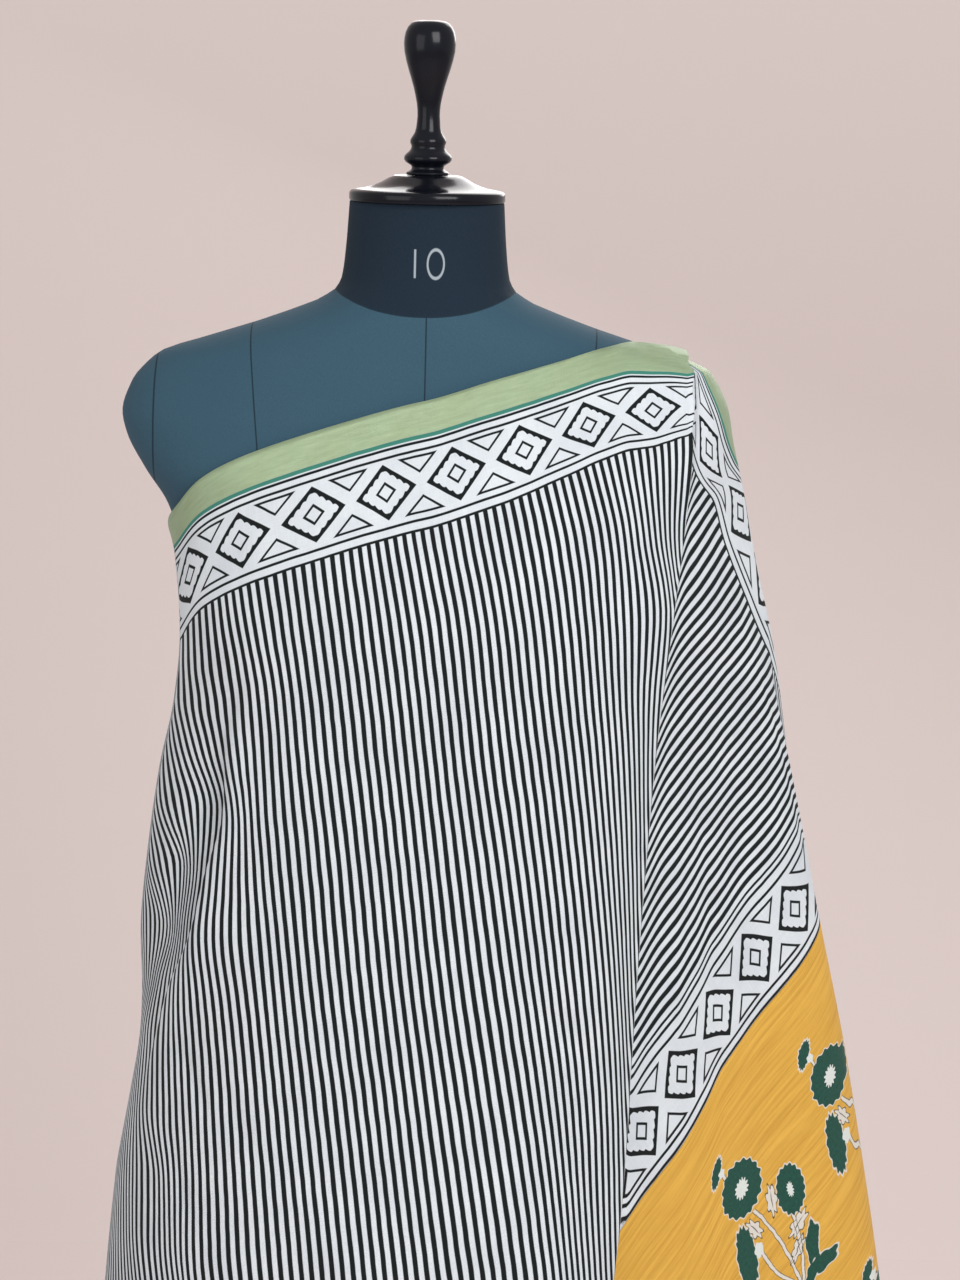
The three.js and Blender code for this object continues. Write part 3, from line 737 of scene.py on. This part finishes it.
def atHeading(share):
    return levelOfRun(share, cloth["headingRun"])


def atEnd(share):
    return levelOfRun(share, cloth["endRun"])


def fallSheet(top, bottom, columns, rows):
    share = np.linspace(0, 1, columns)
    down = np.linspace(0, 1, rows)
    z = mix(top(share)[None, :], bottom(share)[None, :], down[:, None])
    share = np.repeat(share[None, :], rows, 0)
    points = fallPoint(share, z)
    place = placeOnFall(share, points)
    run = fallRun(share, z)
    deep = acrossFall(fallDepthAt(z), place) * (2 - np.maximum(1, place))
    return points, place, run, deep


def stripedFallSheet():
    # the counted stripes give way to true length just before the heading band
    points, place, trueRun, deep = fallSheet(shoulderLevel, lambda share: atHeading(share) + 0.7, 240, 150)
    z = points[..., 2]
    count = acrossFall(fallCountAt(z), np.minimum(1, place)) - 1.5 * hump(np.maximum(0, place), 0, 0.09)
    counted = count * cloth["stripePitch"]
    sideShare = np.interp(z, fallZ, fallSide)
    pastSide = np.maximum(0, place - 1) * (1 - sideShare) * np.interp(z, fallZ, fallLength)
    counted += pastSide * math.cos(math.radians(cloth["grainAngle"]))
    late = (counted[-1] - trueRun[-1])[None, :]
    run = counted - late * ease(cloth["headingRun"] - 200, cloth["headingRun"] - 50, counted)
    # over the shoulder the cloth turns in under the front edge
    over = []
    for t in np.linspace(1, 0, 12, endpoint=False):
        inwards = np.array([168, -12, 0]) - points[0]
        inwards[:, 2] = 9 * math.sin(t * math.pi / 2)
        inwards[:, :2] *= t
        over.append(points[0] + inwards)
    points = np.concatenate([np.stack(over), points])
    run = np.concatenate([run[:1] - np.linspace(24, 2, 12)[:, None], run])
    deep = np.concatenate([np.repeat(deep[:1], 12, 0), deep])
    return points, np.stack([run, deep], -1)


def skirtGrid(columns=260, rows=100):
    z = np.linspace(1046, 12, rows)[:, None]
    angle = np.linspace(-180, 180, columns, endpoint=False)[None, :]
    reach = 34
    half = skirtAt["half"](z)
    points = ovalPoint(half, half, skirtAt["front"](z), skirtAt["back"](z), skirtAt["square"](z), angle, z)
    depth = mix(10, 1, ease(12, 1000, z))
    inPleats = 1 - ease(reach - 6, reach, np.abs(angle))
    wave = np.cos(np.radians(180 * angle * 7 / reach))
    points[..., 1] -= depth * inPleats * (1 + wave) / 2
    ring = np.concatenate([points, points[:, :1]], 1)
    steps = np.linalg.norm(np.diff(ring[-1], axis=0), axis=-1)
    run = np.concatenate([[0], np.cumsum(steps)])
    run = np.repeat(run[None, :], rows, 0)
    deep = np.repeat(((1046 - z) / 1034 * cloth["width"] * 0.9 + cloth["width"] * 0.1), columns + 1, 1)
    return points, np.stack([run, deep], -1)


# finishes

def rgb(code):
    values = [int(code[i:i + 2], 16) / 255 for i in (0, 2, 4)]
    return tuple(v / 12.92 if v <= 0.04045 else ((v + 0.055) / 1.055) ** 2.4 for v in values) + (1.0,)


class Wire:
    # one value in a material or a node group, so that sums of values are written as sums
    def __init__(self, tree, socket):
        self.tree, self.socket = tree, socket

    def __add__(self, other):
        return calc(self.tree, "ADD", self, other)

    def __sub__(self, other):
        return calc(self.tree, "SUBTRACT", self, other)

    def __rsub__(self, other):
        return calc(self.tree, "SUBTRACT", other, self)

    def __mul__(self, other):
        return calc(self.tree, "MULTIPLY", self, other)

    def __truediv__(self, other):
        return calc(self.tree, "DIVIDE", self, other)

    def __abs__(self):
        return calc(self.tree, "ABSOLUTE", self)

    def over(self, other):
        return calc(self.tree, "MAXIMUM", self, other)

    def under(self, other):
        return calc(self.tree, "MINIMUM", self, other)

    def scaled(self, factor, start):
        return calc(self.tree, "MULTIPLY_ADD", self, factor, start)

    def ramp(self, factor, start=0.5):
        # scaled, then held between 0 and 1
        return calc(self.tree, "MULTIPLY_ADD", self, factor, start, clamp=True)


def feed(tree, socket, value):
    if isinstance(value, Wire):
        tree.links.new(value.socket, socket)
    elif isinstance(value, str):
        socket.default_value = rgb(value)
    else:
        socket.default_value = value


def feedAll(tree, node, values):
    for label, value in values.items():
        feed(tree, node.inputs[label], value)


def calc(tree, operation, *values, clamp=False):
    node = tree.nodes.new("ShaderNodeMath")
    node.operation = operation
    node.use_clamp = clamp
    for socket, value in zip(node.inputs, values):
        feed(tree, socket, value)
    return Wire(tree, node.outputs[0])


def blend(tree, factor, first, second):
    node = tree.nodes.new("ShaderNodeMix")
    node.data_type = "RGBA"
    for i, value in ((0, factor), (6, first), (7, second)):
        feed(tree, node.inputs[i], value)
    return Wire(tree, node.outputs[2])


def noise(vector, scale, detail=2.0, roughness=0.5):
    node = vector.tree.nodes.new("ShaderNodeTexNoise")
    feedAll(vector.tree, node, {"Vector": vector, "Scale": scale, "Detail": detail, "Roughness": roughness})
    return Wire(vector.tree, node.outputs["Fac"])


def stretch(vector, scale):
    node = vector.tree.nodes.new("ShaderNodeMapping")
    feedAll(vector.tree, node, {"Vector": vector, "Scale": scale})
    return Wire(vector.tree, node.outputs[0])


def threadNoise(vector, scale, detail=3.0, roughness=0.6):
    # noise drawn out along one yarn direction
    return noise(stretch(vector, scale + (1,)), 1.0, detail, roughness)


def axes(vector):
    node = vector.tree.nodes.new("ShaderNodeSeparateXYZ")
    feed(vector.tree, node.inputs[0], vector)
    return [Wire(vector.tree, output) for output in node.outputs]


def lineMask(value, centre, half, soft=0.35):
    return abs(value - centre).ramp(-1 / soft, half / soft + 0.5)


def newGroup(name, inputs, outputs):
    group = bpy.data.node_groups.new(name, "ShaderNodeTree")
    for label, kind in inputs:
        group.interface.new_socket(name=label, in_out="INPUT", socket_type=kind)
    for label, kind in outputs:
        group.interface.new_socket(name=label, in_out="OUTPUT", socket_type=kind)
    start, end = group.nodes.new("NodeGroupInput"), group.nodes.new("NodeGroupOutput")
    return group, [Wire(group, start.outputs[label]) for label, kind in inputs], end


def useGroup(tree, group, values):
    node = tree.nodes.new("ShaderNodeGroup")
    node.node_tree = group
    feedAll(tree, node, values)
    return {output.name: Wire(tree, output) for output in node.outputs}


number, place3, tint = "NodeSocketFloat", "NodeSocketVector", "NodeSocketColor"

# The printed band in mm: pairs are sizes along and across it, and each line is its middle and half width
band = {
    "pitch": 51.2,
    "firstCentre": 35.84,
    "middle": 49.6,
    "diamond": (22.0, 17.3),
    "scallops": 5,
    "innerDiamond": (7.3, 6.5),
    "triangle": (14.5, 11.0),
    "triangleTop": 17.8,
    "lines": [(24.2, 0.85), (29.0, 0.8), (71.4, 0.85), (77.4, 0.85)],
}


def insideSlant(a, b, sizes):
    # how far inside a slanting side, in mm
    return (1.0 - (a / sizes[0] + b / sizes[1])) * (1 / math.hypot(1 / sizes[0], 1 / sizes[1]))


def diamondBandGroup():
    # block print between lines: scalloped diamonds, a small one inside, and triangles between them
    group, (along, across), end = newGroup(
        "diamondBand", [("Along", number), ("Across", number)], [("Ink", number)])
    ds = calc(group, "PINGPONG", along - band["firstCentre"], band["pitch"] / 2)
    dw = abs(across - band["middle"])
    inside = insideSlant(ds, dw, band["diamond"])
    bumps = abs(calc(group, "SINE", ds * (math.pi * band["scallops"] / band["diamond"][0])))
    outer = inside.ramp(3.0) * (bumps.scaled(-1.0, 3.5) - inside).ramp(3.0)
    inner = lineMask(insideSlant(ds, dw, band["innerDiamond"]), 0.7, 0.8)
    rise = band["triangleTop"] - dw
    slope = insideSlant(band["pitch"] / 2 - ds, rise, band["triangle"])
    ink = outer.over(inner).over(lineMask(rise.under(slope), 0.7, 0.75))
    for middle, half in band["lines"]:
        ink = ink.over(lineMask(across, middle, half))
    feed(group, end.inputs["Ink"], ink)
    return group


# The printed cloth in mm from its edge, and its colours
printing = {
    "stripeHalf": 1.34,
    "fieldStart": 77.6,
    "headingDepth": 65.5,
    "tealLine": (21.2, 1.3),
    "zariWidth": 19.9,
    "ground": ("C6CFD5", "E9EFF2"),
    "greyGround": "A9B1BF",
    "ink": ("020507", "0B1414"),
    "teal": "3F7F70",
    "zari": ("869C80", "ABC2A2"),
    "worn": "949A6C",
}


def clothPrintGroup(bandPrint):
    # all the printing and weaving of the striped cloth from its own run and depth
    group, (vector, headingRun), end = newGroup(
        "clothPrint", [("Cloth", place3), ("Heading run", number)],
        [("Color", tint), ("Zari", number), ("Height", number)])
    wobble = noise(vector, 45.0, 2.0)
    u, v = axes(vector)[:2]
    run = u.scaled(1000.0, wobble.scaled(0.9, -0.45))
    deep = v.scaled(1000.0, wobble.scaled(-0.7, 0.35))
    deep = deep.under(1150.0 - deep)
    # stripes
    half = threadNoise(vector, (160, 14), 2.0, 0.5).scaled(0.5, printing["stripeHalf"])
    stripes = (half - calc(group, "PINGPONG", run, cloth["stripePitch"] / 2)).ramp(2.2)
    stripes = stripes * (deep - printing["fieldStart"]).ramp(4.0)
    # border, and the heading next to the end piece
    border = useGroup(group, bandPrint, {"Along": run, "Across": deep})["Ink"]
    toEnd = headingRun - run
    heading = useGroup(group, bandPrint, {"Along": v * 1000.0, "Across": toEnd.scaled(0.88, 22.6)})["Ink"]
    isHeading = (printing["headingDepth"] - toEnd).ramp(4.0) * (1.0 - (24.0 - deep).ramp(4.0))
    ink = stripes.over(border) * (1.0 - isHeading) + heading * isHeading
    # ground: slubs in both yarn directions
    slub = (threadNoise(vector, (40, 900)) + threadNoise(vector, (900, 45))) * 0.5
    cloudy = noise(vector, 26.0, 3.0, 0.6).ramp(1.6, -0.5)
    ground = blend(group, slub, *printing["ground"])
    ground = blend(group, cloudy, ground, blend(group, 0.45, ground, printing["greyGround"]))
    color = blend(group, ink * 0.99, ground, blend(group, slub, *printing["ink"]))
    # teal line and woven metal edge
    color = blend(group, lineMask(deep, *printing["tealLine"]), color, printing["teal"])
    zari = (printing["zariWidth"] - deep).ramp(3.0)
    metal = blend(group, threadNoise(vector, (60, 420)), *printing["zari"])
    metal = blend(group, noise(vector, 34.0, 3.0) * 0.5, metal, printing["worn"])
    weave = group.nodes.new("ShaderNodeTexWave")
    feedAll(group, weave, {"Scale": 420.0, "Vector": stretch(vector, (1, 0, 1))})
    feedAll(group, end, {
        "Color": blend(group, zari, color, metal),
        "Zari": zari,
        "Height": slub * 0.7 + Wire(group, weave.outputs["Fac"]) * 0.3,
    })
    return group


def newMaterial(name):
    material = bpy.data.materials.new(name)
    material.use_nodes = True
    tree = material.node_tree
    return material, tree, tree.nodes["Principled BSDF"]


def bumpFrom(tree, shader, height, distance, strength):
    bump = tree.nodes.new("ShaderNodeBump")
    feedAll(tree, bump, {"Distance": distance, "Strength": strength, "Height": height})
    tree.links.new(bump.outputs[0], shader.inputs["Normal"])


def clothUv(tree):
    node = tree.nodes.new("ShaderNodeUVMap")
    node.uv_map = "cloth"
    return Wire(tree, node.outputs[0])


def objectPlace(tree):
    return Wire(tree, tree.nodes.new("ShaderNodeTexCoord").outputs["Object"])


def stripedCloth(name, printGroup, headingRun=9000.0):
    material, tree, shader = newMaterial(name)
    printed = useGroup(tree, printGroup, {"Cloth": clothUv(tree), "Heading run": headingRun})
    feedAll(tree, shader, {
        "Base Color": printed["Color"],
        "Roughness": printed["Zari"].scaled(-0.38, 0.82),
        "Metallic": printed["Zari"] * 0.3,
        "Sheen Weight": 0.02,
        "Specular IOR Level": 0.12,
    })
    bumpFrom(tree, shader, printed["Height"], 0.0006, 0.8)
    return material


# One printed bush, in mm down and to the right of its largest flower
sprig = {
    "first": (578, 350),
    "pitch": (190, 115),
    "margins": (50, 60),
    "flowers": [
        {"at": (0, 0), "radii": (22, 21), "eye": (7.5, 6)},
        {"at": (4, 52), "radii": (20, 14), "eye": (5.5, 3.2), "turn": 22},
    ],
    "buds": [
        {"at": (-17, -32), "radii": (11, 5.5), "turn": -8},
        {"at": (52, 14), "radii": (25, 9.5), "turn": 24},
    ],
    "calyxes": [
        {"at": (-15, -25), "radii": (3.4, 3.6), "turn": 0},
        {"at": (48, 26), "radii": (6, 4.5), "turn": 20},
    ],
    "greenLeaves": [
        {"at": (44, 80), "radii": (16, 6.5), "turn": 8},
        {"at": (58, 95), "radii": (14, 6), "turn": -52},
        {"at": (66, 84), "radii": (12, 5), "turn": -24},
    ],
    "paleLeaves": [
        {"at": (12, 34), "radii": (12, 5), "turn": 22},
        {"at": (30, 64), "radii": (12, 5.5), "turn": -30},
        {"at": (32, 19), "radii": (10, 5), "turn": 56},
        {"at": (50, 66), "radii": (11, 4.2), "turn": -20},
    ],
    "leafVein": (14, 0.9),
    "stemHalf": 1.5,
    "stems": [
        {"from": (18, 16), "to": (80, 76), "bow": 5},
        {"from": (20, 55), "to": (80, 76), "bow": 4},
        {"from": (50, 30), "to": (74, 66), "bow": -4},
        {"from": (-14, -24), "to": (-8, -18), "bow": 0},
    ],
}


def within(down, right, shape, notches, depth):
    # how far inside an oval a point is, in mm; notches cut its rim
    tree, turn = down.tree, math.radians(shape.get("turn", 0))
    x, y = down - shape["at"][0], right - shape["at"][1]
    along = x.scaled(math.cos(turn), y * math.sin(turn)) / shape["radii"][0]
    beside = y.scaled(math.cos(turn), x * -math.sin(turn)) / shape["radii"][1]
    size = calc(tree, "SQRT", along.scaled(along, beside * beside))
    if notches:
        size = calc(tree, "SINE", calc(tree, "ARCTAN2", beside, along) * notches).scaled(depth, size)
    return (1.0 - size) * min(shape["radii"])


def filled(inside, grow=0.0):
    return inside.ramp(2.2, 0.5 + 2.2 * grow)


def sprigGroup():
    labels = ("Green", "Pale", "Dark", "Eye")
    group, (vector,), end = newGroup("sprigPrint", [("Cloth", place3)], [(label, number) for label in labels])
    wobble = noise(vector, 120.0, 3.0)
    u, v = axes(vector)[:2]
    run = u.scaled(1000.0, wobble.scaled(3.0, -1.5))
    deep = v.scaled(1000.0, wobble.scaled(-3.0, 1.5))
    # rows of bushes, every other row moved by half a pitch
    (firstRun, firstDeep), (runPitch, deepPitch) = sprig["first"], sprig["pitch"]
    above, beside = sprig["margins"]
    fromRow = run - (firstRun - above)
    row = calc(group, "FLOOR", fromRow / runPitch)
    p = calc(group, "FLOORED_MODULO", fromRow, runPitch) - above
    moved = row.scaled(deepPitch / 2, deep - (firstDeep - beside))
    q = calc(group, "FLOORED_MODULO", moved, deepPitch) - beside
    down, right = (p + q) * math.sqrt(0.5), (p - q) * math.sqrt(0.5)
    masks = {label: [] for label in labels}
    for kind, notches, depth, rim in (("flowers", 17, 0.045, 0.9), ("buds", 15, 0.06, 0.9),
                                      ("greenLeaves", 5, 0.14, 0.8)):
        for shape in sprig[kind]:
            inside = within(down, right, shape, notches, depth)
            masks["Green"].append(filled(inside))
            masks["Pale"].append(filled(inside, rim))
    for flower in sprig["flowers"]:
        masks["Eye"].append(filled(within(down, right, dict(flower, radii=flower["eye"]), 13, 0.16)))
    for calyx in sprig["calyxes"]:
        masks["Eye"].append(filled(within(down, right, calyx, 5, 0.1)))
    for leaf in sprig["paleLeaves"]:
        inside = within(down, right, leaf, 7, 0.2)
        vein = within(down, right, dict(leaf, radii=sprig["leafVein"]), 0, 0)
        masks["Pale"].append(filled(inside))
        masks["Dark"] += [lineMask(inside, 0.1, 0.35, 0.5), filled(inside) * lineMask(vein, 0.7, 0.2, 0.3)]
    for stem in sprig["stems"]:
        (d0, r0), (d1, r1) = stem["from"], stem["to"]
        length = math.hypot(d1 - d0, r1 - r0)
        x, y = down - d0, right - r0
        along = x.scaled((d1 - d0) / length ** 2, y * ((r1 - r0) / length ** 2))
        across = x.scaled((r1 - r0) / length, y * ((d0 - d1) / length))
        away = abs((along * (1.0 - along)).scaled(4.0 * stem["bow"], across))
        onStem = calc(group, "GREATER_THAN", along, 0.0) * calc(group, "LESS_THAN", along, 1.0)
        masks["Pale"].append(onStem * filled(sprig["stemHalf"] - away))
        masks["Dark"].append(onStem * lineMask(away, sprig["stemHalf"], 0.25, 0.5))
    # whole bushes only, clear of the borders and of the cloth's end
    onRow = calc(group, "GREATER_THAN", row, -0.5) * calc(group, "LESS_THAN", row, 1.5)
    shown = onRow * calc(group, "LESS_THAN", abs(deep - 575.0), 480.0)
    for label, parts in masks.items():
        mask = parts[0]
        for other in parts[1:]:
            mask = mask.over(other)
        feed(group, end.inputs[label], mask * shown)
    return group


def mustardCloth(sprigs):
    material, tree, shader = newMaterial("mustardCloth")
    vector = clothUv(tree)
    streak = threadNoise(vector, (330, 12), 4.0, 0.65)
    crossStreak = threadNoise(vector, (16, 420))
    color = blend(tree, streak.ramp(2.8, -0.8), "B98830", "E2B34E")
    color = blend(tree, crossStreak * 0.35, color, "D2A03E")
    color = blend(tree, noise(vector, 9.0, 3.0) * 0.3, color, "C6963A")
    printed = useGroup(tree, sprigs, {"Cloth": vector})
    leafGreen = blend(tree, noise(vector, 420.0, 2.0), "0E372E", "1D5547")
    color = blend(tree, printed["Pale"] * 0.95, color, "D3D0C9")
    for label, ink in (("Dark", "2A302C"), ("Green", leafGreen), ("Eye", "D2D8D4")):
        color = blend(tree, printed[label], color, ink)
    # the woven edge runs on along the end piece
    depth = axes(vector)[1]
    zari = (printing["zariWidth"] * mm - depth.under(cloth["width"] * mm - depth)).ramp(3000.0)
    feedAll(tree, shader, {
        "Base Color": blend(tree, zari, color, blend(tree, crossStreak, *printing["zari"])),
        "Roughness": zari.scaled(-0.3, 0.76),
        "Sheen Weight": 0.08,
        "Specular IOR Level": 0.25,
    })
    bumpFrom(tree, shader, streak + crossStreak * 0.6, 0.0005, 0.7)
    return material


# Sizes in metres, as the form's own places are: seam lines, and the plain size number on the neck
formMarks = {
    "neckSeam": (1.471, 0.014, 0.061),
    "middleSeam": 0.002,
    "armSeam": 0.183,
    "chestSeam": (1.25, 0.096, 0.105),
    "numberLevel": 1.506,
    "barX": -0.0065,
    "ringX": 0.0075,
    "ring": (0.0055, 0.0095),
}


def jersey():
    material, tree, shader = newMaterial("jersey")
    spot = objectPlace(tree)
    across, front, height = axes(spot)
    outer = abs(across)
    knit = noise(stretch(spot, (1500, 1500, 500)), 1.0, 2.0)
    color = blend(tree, knit, "324D5D", "3E5D6D")
    color = blend(tree, noise(spot, 9.0, 3.0) * 0.4, color, "2C4554")
    # the cover above the neck seam is nearly black
    foot, lift, reach = formMarks["neckSeam"]
    side = abs(across / reach).under(1.0)
    seam = calc(tree, "POWER", side, 2.2).scaled(lift, foot)
    # thread lines of the seams
    level, start, slant = formMarks["chestSeam"]
    chest = (height - level).scaled(slant, start)
    lines = lineMask(outer - chest, 0.0, 0.0005, 0.0005)
    lines = lines.over(lineMask(across, formMarks["middleSeam"], 0.0005, 0.0005))
    lines = lines.over(lineMask(outer, formMarks["armSeam"], 0.0006, 0.0006))
    lines = lines.over(lineMask(height, seam, 0.0005, 0.0005))
    color = blend(tree, lines * 0.75, color, "10181F")
    color = blend(tree, (height - seam).ramp(800.0), color, blend(tree, knit, "182531", "202E3B"))
    # a plain size number on the front of the neck: a bar and a ring
    level, (wide, tall) = formMarks["numberLevel"], formMarks["ring"]
    bar = lineMask(across, formMarks["barX"], 0.0007, 0.0004) * lineMask(height, level, tall, 0.0006)
    ringX, ringZ = (across - formMarks["ringX"]) / wide, (height - level) / tall
    ring = calc(tree, "SQRT", ringX.scaled(ringX, ringZ * ringZ))
    mark = bar.over(lineMask(ring, 1.0, 0.11, 0.08)) * calc(tree, "LESS_THAN", front, 0.0)
    feedAll(tree, shader, {
        "Base Color": blend(tree, mark * 0.8, color, "A9B4BC"),
        "Roughness": 0.8,
        "Sheen Weight": 0.03,
        "Sheen Roughness": 0.5,
        "Specular IOR Level": 0.1,
    })
    bumpFrom(tree, shader, knit, 0.0003, 0.5)
    return material


def lacquer():
    material, tree, shader = newMaterial("lacquer")
    smear = noise(objectPlace(tree), 30.0, 4.0)
    feedAll(tree, shader, {
        "Base Color": blend(tree, smear, "08090D", "131620"),
        "Roughness": smear.scaled(0.12, 0.12),
        "Coat Weight": 0.06,
        "Coat Roughness": 0.08,
        "Specular IOR Level": 0.18,
    })
    return material


def coatedMetal():
    material, tree, shader = newMaterial("standMetal")
    spot = objectPlace(tree)
    scuff = noise(spot, 14.0, 5.0, 0.7)
    feedAll(tree, shader, {
        "Base Color": blend(tree, scuff, "131417", "24262A"),
        "Roughness": scuff.scaled(0.25, 0.32),
        "Metallic": 0.6,
    })
    bumpFrom(tree, shader, noise(spot, 900.0, 2.0), 0.0002, 0.4)
    return material


clothPrint = clothPrintGroup(diamondBandGroup())
frontCloth = stripedCloth("stripedFront", clothPrint)
fallCloth = stripedCloth("stripedFall", clothPrint, cloth["headingRun"])
wrapCloth = stripedCloth("stripedWrap", clothPrint)
endCloth = mustardCloth(sprigGroup())
jerseyCover = jersey()
blackLacquer = lacquer()
standMetal = coatedMetal()
print("made the finishes")


# build

buildForm(jerseyCover)

neckCap = {
    "foot": 1545.3,
    "steps": 96,
    "profile": [
        (0, 0), (51.5, 0), (53, 0.5), (53.5, 1.6), (53.5, 5.2), (53, 6.6), (51.6, 7.6), (47, 8.4), (42, 9.3),
        (37, 10.8), (32, 12.9), (27, 15.8), (24, 17.4), (22, 18), (0, 18)],
}

knob = {
    "foot": 1563.6,
    "steps": 96,
    "profile": [
        (0, 0), (14.4, 0), (14.8, 0.8), (14.4, 1.8), (12.2, 2.8), (11.2, 3.8), (11, 5.2), (11.6, 6.4),
        (13.4, 7.4), (15.2, 8.6), (16.2, 10), (16.4, 11.2), (16.1, 12.6), (15, 14), (13, 15.8), (11.8, 17.4),
        (11.4, 19), (11.7, 20.4), (12.3, 21.6), (12.3, 23), (11.9, 24.4), (10.6, 26.4), (9.3, 28.6),
        (8.5, 31.5), (8, 35.5), (7.7, 40), (7.8, 44), (8.3, 48.5), (9.2, 53), (10.6, 59), (12.4, 65),
        (14.3, 71), (16, 77), (17.3, 83), (17.7, 88), (17.5, 92), (16.7, 96), (15.2, 99.4), (13, 102),
        (10, 103.5), (6, 104), (0, 104)],
}

pole = {
    "foot": 0,
    "steps": 64,
    "profile": [(0, 40.3), (15.4, 40.3), (16, 41), (16, 783), (15.4, 783.7), (0, 783.7)],
}

base = {
    "foot": 0,
    "steps": 128,
    "profile": [
        (0, 0), (166.5, 0), (169, 0.8), (170, 3), (170, 9), (169, 11.2), (166.5, 12), (120, 14.4), (70, 17),
        (46, 20), (34, 22.4), (29, 25.6), (26.4, 30), (25, 35), (24.4, 39), (23.6, 40), (0, 40)],
}

for name, shape, node, slot, material in (
        ("neckCap", neckCap, "form_neck_cap", "lacquer", blackLacquer),
        ("knob", knob, "form_knob", "lacquer", blackLacquer),
        ("pole", pole, "stand_pole", "stand_metal", standMetal),
        ("base", base, "stand_base", "stand_metal", standMetal)):
    finish(turnedPiece(name, **shape), [node], material)
print("made the form, knob and stand")


def clothPiece(name, points, uv, node, material, isTube=False):
    piece = gridObject(name, points, uv, isTube)
    addWall(piece, cloth["thickness"])
    finish(piece, [node], material)
    return piece


points, uv = frontGrid()
frontPiece = clothPiece("frontDrape", points, uv, "saree_front_drape", frontCloth)
points, uv = backGrid(uv[:, 0, 0].mean())
backPiece = clothPiece("backWrap", points, uv, "saree_back_wrap", wrapCloth)
points, uv = stripedFallSheet()
fallPiece = clothPiece("fall", points, uv, "saree_fall", fallCloth)
points, place, run, deep = fallSheet(atHeading, atEnd, 240, 130)
uv = np.stack([run, deep], -1)
endPiece = clothPiece("pallaEnd", points, uv, "saree_palla_end", endCloth)
points, uv = skirtGrid()
skirtPiece = clothPiece("skirt", points, uv, "saree_skirt", wrapCloth, isTube=True)
print("made the cloth")


# camera, light and floor

view = {
    "centre": (42.5, -2365.3, 1648.0),
    "pitch": 9.75,
    "roll": 1.2,
    "lens": 96.43,
}

pitch, rollTurn = math.radians(view["pitch"]), math.radians(view["roll"])
ahead = Vector((0, math.cos(pitch), -math.sin(pitch)))
right = Vector((1, 0, 0))
up = Vector((0, math.sin(pitch), math.cos(pitch)))
imageRight = right * math.cos(rollTurn) + up * math.sin(rollTurn)
imageUp = up * math.cos(rollTurn) - right * math.sin(rollTurn)
cameraData = bpy.data.cameras.new("camera")
cameraData.sensor_fit = "VERTICAL"
cameraData.sensor_height = 36
cameraData.lens = view["lens"]
camera = bpy.data.objects.new("camera", cameraData)
bpy.context.scene.collection.objects.link(camera)
turn = Matrix((imageRight, imageUp, -ahead)).transposed()
camera.matrix_world = Matrix.Translation(Vector(view["centre"]) * mm) @ turn.to_4x4()
bpy.context.scene.camera = camera


def areaLight(name, place, target, size, power):
    data = bpy.data.lights.new(name, "AREA")
    data.size = size
    data.energy = power
    lamp = bpy.data.objects.new(name, data)
    bpy.context.scene.collection.objects.link(lamp)
    lamp.location = place
    lamp.rotation_euler = (Vector(target) - Vector(place)).to_track_quat("-Z", "Y").to_euler()


areaLight("key", (1.5, -2.6, 2.7), (0, 0, 1.1), 1.8, 74)
areaLight("fill", (-2.2, -2.4, 1.9), (0, 0, 1.0), 2.2, 24)
areaLight("back", (0.6, 2.6, 2.6), (0, 0, 1.2), 2.0, 36)

bpy.context.scene.view_settings.view_transform = "Standard"

world = bpy.data.worlds.new("studio")
bpy.context.scene.world = world
world.use_nodes = True
world.node_tree.nodes["Background"].inputs["Color"].default_value = (0.93, 0.9, 0.89, 1)
world.node_tree.nodes["Background"].inputs["Strength"].default_value = 0.64


def makeStage():
    # a wide floor, and a strip that curves up from it into the wall behind
    start, curve, wallTop, halfWidth, floorHalf = 2.2, 1.2, 6, 1.7, 7
    profile = [(start, 0)]
    for i in range(1, 13):
        angle = math.radians(90 * i / 12)
        profile.append((start + curve * math.sin(angle), curve - curve * math.cos(angle)))
    profile.append((start + curve, wallTop))
    mesh = bpy.data.meshes.new("sweep")
    verts = [(x, y, z) for y, z in profile for x in (-halfWidth, halfWidth)]
    faces = [(2 * i, 2 * i + 1, 2 * i + 3, 2 * i + 2) for i in range(len(profile) - 1)]
    corner = len(verts)
    verts += [(-floorHalf, -6, 0), (floorHalf, -6, 0), (floorHalf, start, 0), (-floorHalf, start, 0)]
    faces.append((corner, corner + 1, corner + 2, corner + 3))
    mesh.from_pydata(verts, [], faces)
    sweep = bpy.data.objects.new("sweep", mesh)
    bpy.context.scene.collection.objects.link(sweep)
    pick(sweep)
    bpy.ops.object.shade_smooth()
    material, tree, shader = newMaterial("paleSweep")
    # painted light: the sweep is painted darker near the floor and lighter higher up, for how the light falls
    # on it, not a colour of its own
    rise = axes(objectPlace(tree))[2].ramp(0.4, 0.1)
    feedAll(tree, shader, {"Base Color": blend(tree, rise, "D3C5C2", "EFE4E1"), "Roughness": 0.9})
    mesh.materials.append(material)


makeStage()
print("set the camera, lights and floor")

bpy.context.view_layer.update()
